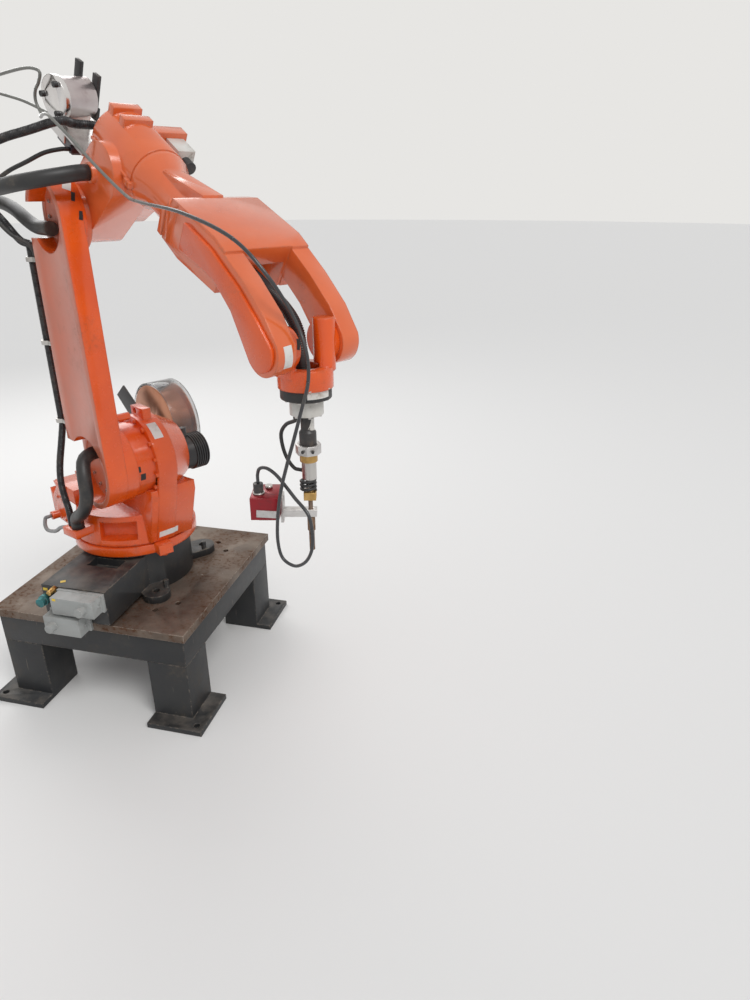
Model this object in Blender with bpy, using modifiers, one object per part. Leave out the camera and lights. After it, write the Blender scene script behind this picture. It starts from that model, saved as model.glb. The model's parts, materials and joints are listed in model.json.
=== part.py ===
"""Six axis arc welding robot on its steel stand, with wire feeder, wire spool, torch and seam sensor.

Units are metres and +Z is up. The origin is on the floor at the middle of the footprint, +Y is the
base's forward direction and the connector panel faces -Y. Each link has an empty on its joint's
axis: X runs along the arm's reach, Y along the shoulder axis, and the link's pieces are its children.
"""
import math

import bmesh
import bpy
from mathutils import Matrix, Vector

# General clearances
SEAT_GAP = 0.0003
OVERRUN = 0.010
PIN_GAP = 0.001
SKIN = 0.002

# Stand
STAND_HEIGHT = 0.385
STAND_WIDTH = 0.750
STAND_DEPTH = 0.780
TOP_PLATE_THICK = 0.030
APRON_DROP = 0.110
APRON_THICK = 0.020
APRON_INSET = 0.012
LEG_WIDTH = 0.150
FOOT_PLATE_THICK = 0.020
FOOT_PLATE_REACH = 0.060
ANCHOR_HOLE_RADIUS = 0.011
SPARE_HOLE_RADIUS = 0.011
SPARE_HOLE_PITCH = 0.060
SPARE_HOLE_OUT_X = 0.035
SPARE_HOLE_OUT_Y = 0.080

# Black cast base
BASE_HEIGHT = 0.168
BASE_RADIUS = 0.193
LUG_X = 0.165
LUG_Y = 0.185
LUG_RADIUS = 0.055
LUG_THICK = 0.028
LUG_HOLE_RADIUS = 0.013
LUG_BOLT_RADIUS = 0.010
LUG_BOLT_HEIGHT = 0.060
BOX_HALF_WIDTH = 0.120
BOX_FRONT = 0.415
BOX_HEIGHT = 0.150
BOX_FLOOR = 0.020
POCKET_DEPTH = 0.030
POCKET_LENGTH = 0.060
HOOD_REACH = 0.060
POWER_HOOD = (-0.045, 0.110, 0.080, 0.146)
SIGNAL_HOOD = (-0.088, 0.045, -0.004, 0.068)
HOOD_FOOT_THICK = 0.012
HOOD_FOOT_SPREAD = 0.008
HOOD_GLAND_RADIUS = 0.016
HOOD_GLAND_LENGTH = 0.024
HOOD_LEVER_RADIUS = 0.003
HOOD_LEVER_OUT = 0.005
ROUND_PLUG_X = -0.097
ROUND_PLUG_Z = 0.108
ROUND_PLUG_RADIUS = 0.016
ROUND_PLUG_GRIP_RADIUS = 0.019
ROUND_PLUG_LENGTH = 0.050
AIR_FITTING_X = -0.068
AIR_FITTING_Z = 0.141
AIR_FITTING_RADIUS = 0.009
AIR_FITTING_LENGTH = 0.034

# Arm proportions
TURRET_TURN = math.radians(-31.3)
SHOULDER_REACH = 0.160
SHOULDER_HEIGHT = 0.520
UPPER_ARM_LENGTH = 0.780
UPPER_ARM_LEAN = math.radians(0.0)
FOREARM_DROP = math.radians(31.5)
ELBOW_OFFSET = 0.245
FOREARM_LENGTH = 0.900
TOOL_DROP = math.radians(90.0)

# Turret
TURRET_RING_RADIUS = 0.223
TURRET_RING_HEIGHT = 0.034
TURRET_GROOVE_HEIGHT = 0.006
TURRET_GROOVE_DEPTH = 0.008
TURRET_SKIRT_RADIUS = 0.217
TURRET_DECK_RADIUS = 0.198
TURRET_DECK_UNDER_SHOULDER = 0.205
HOUSING_RADIUS = 0.150
HOUSING_FAR_RADIUS = 0.104
HOUSING_NEAR = -0.035
HOUSING_TAPER_START = 0.035
HOUSING_FAR = 0.110
COLUMN_BACK = -0.110
COLUMN_FRONT = 0.285
COLUMN_FOOT_FRONT = 0.225
COLUMN_NEAR = -0.060
PANEL_DEPTH = 0.008
PANEL_MARGIN = 0.022
PANEL_HEIGHT = 0.120
SKIRT_POCKET_TURN = math.radians(-43.0)
SKIRT_POCKET_WIDTH = 0.130
SKIRT_POCKET_HEIGHT = 0.066
SKIRT_POCKET_DEPTH = 0.040
STOP_TURN = math.radians(-5.0)
STOP_REACH = 0.262
STOP_WIDTH = 0.052
STOP_DROP = 0.006
SHOULDER_BOLT_CIRCLE = 0.140
SHOULDER_HUB_RADIUS = 0.128
SHOULDER_HUB_NEAR = -0.0967
BOLT_HEAD_RADIUS = 0.008
BOLT_HEAD_HEIGHT = 0.008
SHOULDER_BOLTS = 16
LIFTING_LUG_WIDTH = 0.080
LIFTING_LUG_RISE = 0.028
LIFTING_LUG_THICK = 0.030
LIFTING_LUG_HOLE = 0.010
COVER_BACK = -0.262
COVER_FRONT = -0.060
COVER_NEAR = -0.190
COVER_HEIGHT = 0.056
COVER_CHAMFER = 0.060
COVER_PLATE = 0.008
COVER_PLATE_FRONT = -0.125
GLAND_RADIUS = 0.016
GLAND_LENGTH = 0.030
TIE_TURN = math.radians(-80.0)
TIE_REACH = 0.272
TIE_WIDTH = 0.078
TIE_HEIGHT = 0.030
TIE_UNDER_SHOULDER = 0.238

# Shoulder motor and wire spool on the turret's far side
MOTOR_FORWARD = 0.030
MOTOR_DROP = 0.020
MOTOR_RADIUS = 0.066
MOTOR_LENGTH = 0.095
MOTOR_FIN_STEP = 0.009
MOTOR_FIN_DEPTH = 0.006
MOTOR_FINS = 6
MOTOR_PLUG_RADIUS = 0.014
MOTOR_PLUG_HEIGHT = 0.030
SPOOL_BACK = 0.215
SPOOL_RISE = 0.030
SPOOL_RADIUS = 0.145
SPOOL_WIRE_RADIUS = 0.122
SPOOL_BORE_RADIUS = 0.016
SPOOL_START = 0.160
SPOOL_WIDTH = 0.095
SPOOL_FLANGE = 0.004
SPINDLE_RADIUS = 0.012
SPINDLE_NUT_RADIUS = 0.024
SPINDLE_NUT_LENGTH = 0.016
SPOOL_COVER_GAP = 0.006
SPOOL_COVER_WALL = 0.003
BRACKET_THICK = 0.006
BRACKET_SHARES = ((-0.18, 0.087), (-0.117, 0.135), (0.04, 0.025), (0.155, -0.005), (0.155, -0.095),
                  (0.02, -0.135), (-0.05, -0.015))
BRACKET_SCALE = 1.0

# Upper arm, across the shoulder axis
ARM_OUTER = -0.205
ARM_INNER = -0.140
BOSS_STEP = 0.002
ARM_BOSS_INNER = -0.097
ARM_BOSS_RADIUS = 0.136
ARM_TOP_INNER = -0.130
ARM_TOP_RADIUS = 0.118
ARM_LOWER_OPENING = 0.116
ARM_UPPER_OPENING = 0.098
ARM_CUP_DEPTH = 0.050
ARM_NOTCH_WIDTH = 0.120
ARM_STUB_RADIUS = 0.012
ARM_STUB_LENGTH = 0.060
ARM_STUB_RISE = 0.180
CONDUIT_RADIUS = 0.012
CONDUIT_BACK = 0.050
CONDUIT_STAND_OFF = 0.022
CLIP_RADIUS = 0.019
CLIP_BORE_GAP = 0.002
CLIP_WIDTH = 0.014
CLIP_SHARES = (0.17, 0.51, 0.84)

# Elbow
ELBOW_FLANGE_RADIUS = 0.098
ELBOW_FLANGE_THICK = 0.022
ELBOW_FIST_RADIUS = 0.074
ELBOW_NECK_FORWARD = 0.105
ELBOW_NECK_DROP = 0.045
ELBOW_NECK_RADIUS = 0.098
ELBOW_FIST_FAR = 0.010
ELBOW_WEB_RADIUS = 0.060
ELBOW_WEB_RISE = 0.065
ELBOW_WEB_FAR = 0.070
BARREL_RADIUS = 0.084
BARREL_SEAM = 0.212
PAD_WIDTH = 0.084
PAD_SHIFT = -0.005
PAD_LENGTH = 0.028
PAD_TOP = 0.093
PAD_STARTS = (0.000, 0.060)
RIB_THICK = 0.007
RIB_OUT = 0.005
MARK_LENGTH = 0.014
MARK_OUT = 0.010
BACK_BOSS_RADIUS = 0.058
BACK_BOSS_LENGTH = 0.014
HOSE_GLAND_RADIUS = 0.027
HOSE_GLAND_FORWARD = 0.071
HOSE_GLAND_RISE = 0.179
HOSE_GLAND_LENGTH = 0.014
ROLL_COVER_START = 0.050
ROLL_COVER_END = 0.086
ROLL_COVER_FAR = 0.150
ROLL_COVER_TOP = 0.062
ROLL_COVER_BOTTOM = -0.050
ROLL_MOTOR_LENGTH = 0.066
ROLL_MOTOR_WIDTH = 0.054
ROLL_MOTOR_TOP = 0.048
ROLL_MOTOR_BOTTOM = -0.020
ROLL_PLUG_RADIUS = 0.018
ROLL_PLUG_LENGTH = 0.030

# Wire feeder behind the elbow
FEEDER_BACK = -0.170
FEEDER_NEAR = -0.100
FEEDER_RISE = 0.012
FEEDER_TURN = math.radians(10.0)
FEEDER_LENGTH = 0.092
FEEDER_RADIUS = 0.051
FEEDER_DISC_RADIUS = 0.0565
FEEDER_DISC_THICK = 0.014
FEEDER_KNOB_RADIUS = 0.008
FEEDER_KNOB_REACH = 0.012
FEEDER_KNOB_CIRCLE = 0.042
FEEDER_KNOB_TURN = math.radians(195.0)
FEEDER_PLATE_DROP = 0.058
FEEDER_PLATE_THICK = 0.010
FEEDER_PLATE_BACK = -0.225
FEEDER_PLATE_NEAR = -0.100
FEEDER_PLATE_FAR = 0.050
FEEDER_LEG_NEAR = 0.018
FEEDER_FLANGE_DROP = 0.034
FEEDER_FLANGE_THICK = 0.006
FEEDER_FLANGE_FRONT = -0.120
FEEDER_LEG_TOP = 0.050
FEEDER_SADDLE_NEAR = -0.080
FEEDER_SADDLE_FAR = -0.015
FEEDER_SADDLE_HALF = 0.026
FEEDER_MOTOR_BACK = -0.190
FEEDER_MOTOR_FRONT = -0.098
FEEDER_MOTOR_NEAR = -0.086
FEEDER_MOTOR_FAR = -0.025
FEEDER_MOTOR_DROP = 0.045
FEEDER_FITTING_RADIUS = 0.013
FEEDER_FITTING_NEAR = -0.098
LEVER_HEIGHT = 0.074
LEVER_WIDTH = 0.024
LEVER_THICK = 0.012
LEVER_SHARES = (-1.09, 0.46)
GEAR_PLATE_ACROSS_SHARES = (-1.42, 0.90)
GEAR_PLATE_HEIGHT_SHARES = (-0.90, -0.20)

# Forearm fork
NECK_WAIST_RADIUS = 0.066
NECK_WAIST_START = 0.050
NECK_WAIST_END = 0.160
NECK_END = 0.225
NECK_END_RADIUS = 0.078
NECK_RIB_NEAR = -0.034
NECK_RIB_FAR = 0.026
FORK_DEPTH = 0.100
FORK_BODY_SHARES = ((0.40, -0.02), (0.52, -0.08), (0.72, 0.00), (0.77, 0.05), (0.77, 1.18), (0.72, 1.24),
                    (0.52, 1.06), (0.495, 0.95), (0.45, 0.45), (0.40, 0.38))
FORK_HULL_SHARES = ((0.38, -0.66), (0.50, -0.76), (0.68, -0.55), (0.73, -0.20), (0.73, 0.10), (0.38, 0.10))
FORK_HULL_HALF = 0.066
FORK_PLAN_START = 0.370
FORK_PLAN_END = 0.470
FORK_PLAN_HALF = 0.062
FORK_RIB_SHARES = ((0.305, 0.30), (0.305, 0.62), (0.505, 1.05), (0.54, 0.40))
FORK_PRONG_SHARES = ((0.55, -0.02), (0.69, 0.24), (0.757, 0.33), (0.863, 0.15), (0.940, -0.12))
FORK_CREST_SHARES = ((0.965, 0.78), (0.86, 1.00), (0.72, 1.18), (0.55, 1.04))
FORK_OUTER = 0.125
FORK_INNER_HALF = 0.072
FORK_WINDOW_START = 0.690
FORK_CAVITY_START = 0.560
FORK_CAVITY_TOP = 0.072
FORK_CAVITY_BOTTOM = -0.050
FORK_CAVITY_HALF = 0.062
PRONG_RADIUS = 0.06
DRIVE_COVER_THICK = 0.010
DRIVE_COVER_MARGIN = 0.012
DRIVE_COVER_LUG = 0.012
DRIVE_COVER_SHARES = ((0.60, 0.20), (0.70, 0.36), (0.77, 0.40), (0.86, 0.18))
DRIVE_COVER_CREST_SHARES = ((0.955, 0.60), (0.86, 0.82), (0.72, 0.98), (0.60, 0.92))

# Wrist and tool, along the tool axis from the wrist axis
WRIST_RING_RADIUS = 0.069
WRIST_RING_START = 0.052
WRIST_RING_END = 0.1025
WRIST_BORE_RADIUS = 0.040
WRIST_LEG_THICK = 0.020
WRIST_LEG_HALF = 0.030
WRIST_HUB_RADIUS = 0.050
WRIST_DRIVE_RADIUS = 0.027
WRIST_DRIVE_TOP = -0.062
WRIST_DRIVE_FORWARD = 0.030
WRIST_DRIVE_FAR = 0.038
JOINT_RING_END = 0.130
JOINT_RING_RADIUS = 0.064
INSULATOR_RADIUS = 0.0425
INSULATOR_END = 0.172
TORCH_NECK_RADIUS = 0.017
TORCH_BULGE_RADIUS = 0.022
TORCH_BULGE_START = 0.214
TORCH_BULGE_SLOPE = 0.006
CLAMP_START = 0.252
CLAMP_END = 0.277
CLAMP_RADIUS = 0.033
BRASS_RING_END = 0.2985
BRASS_RING_RADIUS = 0.023
TORCH_SLEEVE_END = 0.347
TORCH_STEM_RADIUS = 0.010
TORCH_BODY_END = 0.382
TORCH_BODY_RADIUS = 0.019
BRASS_BLOCK_END = 0.4045
BRASS_BLOCK_SIDE = 0.032
TORCH_ROD_RADIUS = 0.006
NOZZLE_START = 0.456
NOZZLE_END = 0.496
NOZZLE_RADIUS = 0.0105
TIP_END = 0.555
TIP_RADIUS = 0.0075

# Seam sensor beside the torch
SENSOR_TURN = math.radians(45.0)
SENSOR_REACH = 0.115
SENSOR_START = 0.384
SENSOR_END = 0.445
SENSOR_HALF_WIDTH = 0.048
SENSOR_HALF_DEPTH = 0.0365
SENSOR_HOOD_LENGTH = 0.008
SENSOR_PLUG_RADIUS = 0.013
SENSOR_PLUG_OUT = 0.017
SENSOR_PLUG_NEAR = 0.016
SENSOR_PLUG_LENGTH = 0.030
SENSOR_PLATE_THICK = 0.008
SENSOR_PLATE_START = 0.392
SENSOR_PLATE_END = 0.466
SENSOR_PLATE_HALF = 0.020
SENSOR_BRIDGE_START = 0.433
SENSOR_BRIDGE_END = 0.4535
SENSOR_BRIDGE_HALF = 0.012

# Hoses and cables. A route's points stay as chosen: they are in the frame of the upper arm's link,
# from the elbow's axis for the three that reach the elbow,
# of the forearm's link for the forearm hose, and of the tool's link for the torch lead.
CABLE_POINT_SPACING_SHARE = 5.0
CABLE_POINTS = 80
ROUTE_STEPS = 40
SHOULDER_HOSE_RADIUS = 0.022
ELBOW_HOSE_RADIUS = 0.021
FEEDER_HOSE_RADIUS = 0.006
SENSOR_CABLE_RADIUS = 0.0045
FOREARM_HOSE_RADIUS = 0.016
TORCH_LEAD_RADIUS = 0.005
GLAND_CABLE_RADIUS = 0.007
BOSS_LEAD = [(0.0003, -0.004, 0.0), (0.020, -0.004, 0.0), (0.042, -0.016, 0.005), (0.064, -0.045, 0.013),
             (0.072, -0.090, 0.016)]
HOSE_GLAND_LEAD = [0.0003, 0.020]
TORCH_LEAD_ROOT = (-0.0283, 0.0141)
CONDUIT_ROUTE = [(-0.184, -0.208, 0.061), (-0.190, -0.228, -0.028), (-0.178, -0.240, -0.085),
                 (-0.158, -0.245, -0.132)]
CONDUIT_TAIL = [(-0.135, -0.2475, 0.066), (-0.137, -0.2457, 0.030), (-0.137, -0.2457, 0.0)]
SHOULDER_HOSE_ROUTE = [(0.000, -0.1553, 0.055), (0.000, -0.186, 0.055), (0.022, -0.226, 0.045),
                       (0.052, -0.246, 0.005),
                       (0.056, -0.250, -0.055), (0.032, -0.252, -0.108), (-0.014, -0.250, -0.150),
                       (-0.070, -0.245, -0.182)]
SHOULDER_HOSE_TAIL = [(-0.101, -0.2394, 0.030), (-0.101, -0.2394, 0.0)]
ELBOW_HOSE_ROUTE = [(0.1500, -0.2050, 0.1070), (0.1250, -0.2550, 0.0980), (0.0700, -0.2900, 0.0890),
                    (-0.0200, -0.3120, 0.0780), (-0.1100, -0.3500, 0.0710), (-0.2050, -0.3740, 0.0660),
                    (-0.3000, -0.3680, 0.0610), (-0.3830, -0.3330, 0.0560), (-0.4340, -0.2750, 0.0500),
                    (-0.4370, -0.2150, 0.0440), (-0.4020, -0.1800, 0.0360), (-0.3400, -0.1730, 0.0250),
                    (-0.2650, -0.1770, 0.0100), (-0.2000, -0.1820, -0.0080), (-0.1540, -0.1800, -0.0240),
                    (-0.1180, -0.1795, -0.0310), (-0.0700, -0.1795, -0.0320), (-0.0200, -0.1795, -0.0320)]
ELBOW_CONDUIT_ROUTE = [(0.0600, -0.1400, 0.2440), (-0.0110, -0.2000, 0.2220), (-0.0880, -0.2500, 0.2015),
                       (-0.1900, -0.2850, 0.1700), (-0.2900, -0.2850, 0.1200), (-0.3350, -0.2620, 0.0650),
                       (-0.3050, -0.2400, 0.0200), (-0.2480, -0.2300, -0.0180), (-0.2050, -0.2080, -0.0700)]
FEEDER_HOSE_ROUTE = [(-0.0100, -0.1650, 0.1680), (-0.0450, -0.2050, 0.1450), (-0.1100, -0.2380, 0.1200),
                     (-0.1900, -0.2520, 0.0900), (-0.2400, -0.2620, 0.0480), (-0.2250, -0.2620, 0.0000),
                     (-0.1850, -0.2400, -0.0500), (-0.1550, -0.2050, -0.0800)]
SENSOR_CABLE_ROUTE = [(-0.150, -0.060, 1.050), (-0.260, -0.095, 1.095), (-0.350, -0.140, 1.122),
                      (-0.372, -0.172, 1.138),
                      (-0.310, -0.185, 1.148), (-0.200, -0.178, 1.152), (-0.100, -0.160, 1.158),
                      (-0.045, -0.148, 1.157),
                      (-0.014, -0.139, 1.146), (-0.030, -0.139, 1.124), (-0.060, -0.140, 1.105),
                      (-0.072, -0.139, 1.080),
                      (-0.058, -0.137, 1.052), (-0.030, -0.150, 1.038), (0.030, -0.168, 1.040),
                      (0.085, -0.178, 1.035),
                      (0.140, -0.178, 1.008), (0.195, -0.165, 0.965), (0.252, -0.150, 0.915),
                      (0.384, -0.142, 0.842),
                      (0.470, -0.150, 0.8265), (0.684, -0.165, 0.807), (0.854, -0.150, 0.759),
                      (0.936, -0.120, 0.680),
                      (0.9455, -0.066, 0.590), (0.975, -0.060, 0.520), (0.977, -0.060, 0.452),
                      (0.957, -0.068, 0.380),
                      (0.940, -0.080, 0.310), (0.923, -0.092, 0.243), (0.910, -0.105, 0.175),
                      (0.897, -0.110, 0.103),
                      (0.890, -0.110, 0.027), (0.900, -0.105, -0.022), (0.940, -0.098, -0.032),
                      (0.978, -0.092, -0.007),
                      (1.000, -0.088, 0.037), (0.999, -0.085, 0.086), (0.986, -0.085, 0.127),
                      (0.942, -0.088, 0.157),
                      (0.908, -0.089, 0.180), (0.876, -0.094, 0.204), (0.849, -0.101, 0.215),
                      (0.8255, -0.1055, 0.208)]
FOREARM_HOSE_ROUTE = [(0.600, -0.010, 0.024), (0.680, -0.010, 0.034), (0.760, -0.010, 0.040),
                      (0.830, -0.010, 0.038),
                      (0.872, -0.010, 0.024), (0.900, -0.010, -0.002), (0.927, -0.008, -0.043),
                      (0.9507, -0.005, -0.0827)]
TORCH_LEAD_ROUTE = [(0.186, -0.0283, 0.0141), (0.204, -0.0540, -0.0100), (0.234, -0.0707, -0.0283),
                    (0.272, -0.0679, -0.0265), (0.306, -0.0560, -0.0240), (0.328, -0.0373, -0.0176),
                    (0.328, -0.01763, -0.00833)]
GLAND_CABLE_ROUTE = [(-0.388, -0.250, -0.296), (-0.368, -0.262, -0.312), (-0.336, -0.266, -0.321),
                     (-0.270, -0.262, -0.303),
                     (-0.215, -0.260, -0.270), (-0.1691, -0.2555, -0.2530), (-0.1553, -0.2531, -0.253)]


def clear_scene():
    """Removes every object that the scene holds."""
    for thing in list(bpy.data.objects):
        bpy.data.objects.remove(thing, do_unlink=True)


def collection(name):
    """A new collection in the scene."""
    group = bpy.data.collections.new(name)
    bpy.context.scene.collection.children.link(group)
    return group


clear_scene()
SOLIDS = []
PART = collection("welding_robot")
TOOLS = collection("shaping_tools")
TOOLS.hide_render = True


def paint(name, colour, roughness, metallic=0.0):
    """A plain Principled material."""
    material = bpy.data.materials.new(name)
    material.use_nodes = True
    shader = material.node_tree.nodes["Principled BSDF"]
    shader.inputs["Base Color"].default_value = (*colour, 1.0)
    shader.inputs["Roughness"].default_value = roughness
    shader.inputs["Metallic"].default_value = metallic
    material.diffuse_color = (*colour, 1.0)
    return material


ORANGE = paint("orange_paint", (0.80, 0.13, 0.03), 0.35)
BLACK = paint("black_paint", (0.02, 0.02, 0.022), 0.45)
STEEL = paint("worn_steel", (0.24, 0.20, 0.17), 0.6, 0.6)
BRIGHT = paint("bright_metal", (0.72, 0.70, 0.68), 0.3, 1.0)
BRASS = paint("brass", (0.60, 0.38, 0.14), 0.35, 1.0)
GREY = paint("grey_cast", (0.42, 0.43, 0.42), 0.5)
RUBBER = paint("black_rubber", (0.015, 0.015, 0.016), 0.6)
WHITE = paint("white_plastic", (0.75, 0.74, 0.70), 0.4)
RED = paint("red_anodised", (0.42, 0.02, 0.03), 0.3)
COPPER = paint("copper_wire", (0.55, 0.27, 0.14), 0.4, 0.8)
TEAL = paint("teal_metal", (0.05, 0.30, 0.30), 0.4, 0.5)
CLEAR = paint("clear_plastic", (0.75, 0.78, 0.80), 0.1)


def link(name, parent, at=(0.0, 0.0, 0.0), turn=0.0, axis="Z"):
    """An empty that carries a link of the arm and marks its joint's axis."""
    empty = bpy.data.objects.new(name, None)
    PART.objects.link(empty)
    empty.parent = parent
    empty.location = at
    empty.rotation_euler["XYZ".index(axis)] = turn
    return empty


def place(shape, direction, at):
    """Turns a shape made along +Z to a direction and moves it."""
    spin = Vector((0, 0, 1)).rotation_difference(Vector(direction)).to_matrix().to_4x4()
    bmesh.ops.transform(shape, matrix=Matrix.Translation(at) @ spin, verts=shape.verts)
    return shape


def block(low, high):
    """A box between two corners."""
    shape = bmesh.new()
    bmesh.ops.create_cube(shape, size=1.0)
    low, high = Vector(low), Vector(high)
    bmesh.ops.scale(shape, vec=high - low, verts=shape.verts)
    bmesh.ops.translate(shape, vec=(low + high) / 2, verts=shape.verts)
    return shape


def rod(radius, start, end, sides=48, end_radius=None):
    """A cylinder or a cone between two points."""
    start, end = Vector(start), Vector(end)
    shape = bmesh.new()
    far = radius if end_radius is None else end_radius
    length = (end - start).length
    bmesh.ops.create_cone(shape, cap_ends=True, segments=sides, radius1=radius, radius2=far, depth=length)
    return place(shape, end - start, (start + end) / 2)


def slab(outline, near, far, plane="XZ"):
    """A flat outline given a thickness, between two places on the third axis."""
    curve = bpy.data.curves.new("outline", "CURVE")
    curve.dimensions = "2D"
    curve.fill_mode = "BOTH"
    curve.extrude = abs(far - near) / 2
    spline = curve.splines.new("POLY")
    spline.points.add(len(outline) - 1)
    for point, (u, v) in zip(spline.points, outline):
        point.co = (u, v, 0, 1)
    spline.use_cyclic_u = True
    guide = bpy.data.objects.new("outline", curve)
    mesh = bpy.data.meshes.new_from_object(guide)
    bpy.data.objects.remove(guide)
    bpy.data.curves.remove(curve)
    shape = bmesh.new()
    shape.from_mesh(mesh)
    bpy.data.meshes.remove(mesh)
    bmesh.ops.remove_doubles(shape, verts=shape.verts, dist=SEAT_GAP / 10)
    middle = (near + far) / 2
    if plane == "XZ":
        turn = Matrix.Rotation(math.pi / 2, 4, "X")
        move = Matrix.Translation((0, middle, 0))
    elif plane == "YZ":
        turn = Matrix(((0, 0, 1, 0), (1, 0, 0, 0), (0, 1, 0, 0), (0, 0, 0, 1)))
        move = Matrix.Translation((middle, 0, 0))
    else:
        turn = Matrix.Identity(4)
        move = Matrix.Translation((0, 0, middle))
    bmesh.ops.transform(shape, matrix=move @ turn, verts=shape.verts)
    bmesh.ops.recalc_face_normals(shape, faces=shape.faces)
    return shape


def turned(profile, at, direction, steps=48):
    """A turned shape: radius and height pairs, from the top of the axis round to its bottom."""
    mesh = bpy.data.meshes.new("profile")
    points = [(radius, 0.0, height) for radius, height in profile]
    mesh.from_pydata(points, [(i, i + 1) for i in range(len(points) - 1)], [])
    guide = bpy.data.objects.new("profile", mesh)
    TOOLS.objects.link(guide)
    screw = guide.modifiers.new("turn", "SCREW")
    screw.steps = steps
    screw.render_steps = steps
    screw.use_merge_vertices = True
    screw.merge_threshold = 0.0001
    bpy.context.view_layer.update()
    evaluated = guide.evaluated_get(bpy.context.evaluated_depsgraph_get())
    made = bpy.data.meshes.new_from_object(evaluated)
    shape = bmesh.new()
    shape.from_mesh(made)
    bpy.data.objects.remove(guide)
    bpy.data.meshes.remove(made)
    bmesh.ops.remove_doubles(shape, verts=shape.verts, dist=SEAT_GAP / 10)
    bmesh.ops.recalc_face_normals(shape, faces=shape.faces)
    return place(shape, direction, at)


def arc(centre, radius, start, end, steps=12):
    """Points on an arc, in degrees."""
    angles = [math.radians(start + (end - start) * i / steps) for i in range(steps + 1)]
    return [(centre[0] + radius * math.cos(a), centre[1] + radius * math.sin(a)) for a in angles]


def belt(first, first_radius, second, second_radius, steps=16):
    """The outline of a belt round two circles, the second one away from the first."""
    reach = math.hypot(second[0] - first[0], second[1] - first[1])
    aim = math.degrees(math.atan2(second[1] - first[1], second[0] - first[0]))
    lean = math.degrees(math.acos((first_radius - second_radius) / reach))
    outer = arc(second, second_radius, aim - lean, aim + lean, steps)
    inner = arc(first, first_radius, aim + lean, aim + 360 - lean, steps)
    return outer + inner


def finish(thing, material):
    """Gives an object its material and smooth shading with sharp edges kept."""
    thing.data.materials.clear()
    thing.data.materials.append(material)
    thing.data.shade_smooth()
    thing.data.set_sharp_from_angle(angle=math.radians(35))


def new_object(name, body, shape, group):
    """Makes an object from a shape, carried by a link."""
    mesh = bpy.data.meshes.new(name)
    shape.to_mesh(mesh)
    shape.free()
    thing = bpy.data.objects.new(name, mesh)
    group.objects.link(thing)
    thing.parent = body
    return thing


def piece(name, body, material, shape, join=(), cut=()):
    """One named solid: a first shape, shapes joined to it, and shapes cut from it."""
    thing = new_object(name, body, shape, PART)
    SOLIDS.append(thing)
    for operation, shapes in (("UNION", join), ("DIFFERENCE", cut)):
        for number, tool_shape in enumerate(shapes):
            tool = new_object(f"{name}_{operation.lower()}_{number}", body, tool_shape, TOOLS)
            tool.hide_render = True
            tool.display_type = "WIRE"
            step = thing.modifiers.new(f"{operation.lower()}_{number}", "BOOLEAN")
            step.operation = operation
            step.solver = "EXACT"
            step.object = tool
            if operation == "UNION":
                SOLIDS.append(tool)
    finish(thing, material)
    return thing


def tube(name, body, material, points, radius, sides_share=2):
    """A round cable through its points, with closed ends."""
    curve = bpy.data.curves.new(name, "CURVE")
    curve.dimensions = "3D"
    curve.bevel_depth = radius
    curve.bevel_resolution = sides_share
    curve.use_fill_caps = True
    spline = curve.splines.new("POLY")
    spline.points.add(len(points) - 1)
    for point, place_at in zip(spline.points, points):
        point.co = (*place_at, 1)
    thing = bpy.data.objects.new(name, curve)
    PART.objects.link(thing)
    thing.parent = body
    curve.materials.append(material)
    return thing


def ring_places(count, radius, first=0.0):
    """Places on a circle, as pairs."""
    turns = [first + 2 * math.pi * i / count for i in range(count)]
    return [(radius * math.cos(t), radius * math.sin(t)) for t in turns]


# Links, each on its joint's axis
floor = link("stand_link", None)
base = link("base_link", floor, (0, 0, STAND_HEIGHT))
turret = link("turret_link", base, turn=TURRET_TURN)
upper_arm = link("upper_arm_link", turret, (SHOULDER_REACH, 0, SHOULDER_HEIGHT), UPPER_ARM_LEAN, "Y")
elbow = link("elbow_link", upper_arm, (0, 0, UPPER_ARM_LENGTH), FOREARM_DROP, "Y")
forearm = link("forearm_link", elbow, (0, 0, ELBOW_OFFSET))
wrist = link("wrist_link", forearm, (FOREARM_LENGTH, 0, 0), TOOL_DROP - FOREARM_DROP - UPPER_ARM_LEAN, "Y")
tool = link("tool_link", wrist, turn=SENSOR_TURN, axis="X")


def block_between(first, second):
    """A box between any two opposite corners."""
    low = [min(a, b) for a, b in zip(first, second)]
    high = [max(a, b) for a, b in zip(first, second)]
    return block(low, high)


def shaped(shares, along, across):
    """An outline from pairs of shares of two lengths."""
    return [(along * u, across * v) for u, v in shares]


def spun(shape, angle, axis="Z"):
    """Turns a shape about an axis through its link's origin."""
    bmesh.ops.transform(shape, matrix=Matrix.Rotation(angle, 4, axis), verts=shape.verts)
    return shape


def moved(shape, step):
    """Moves a shape."""
    bmesh.ops.translate(shape, vec=step, verts=shape.verts)
    return shape


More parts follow.
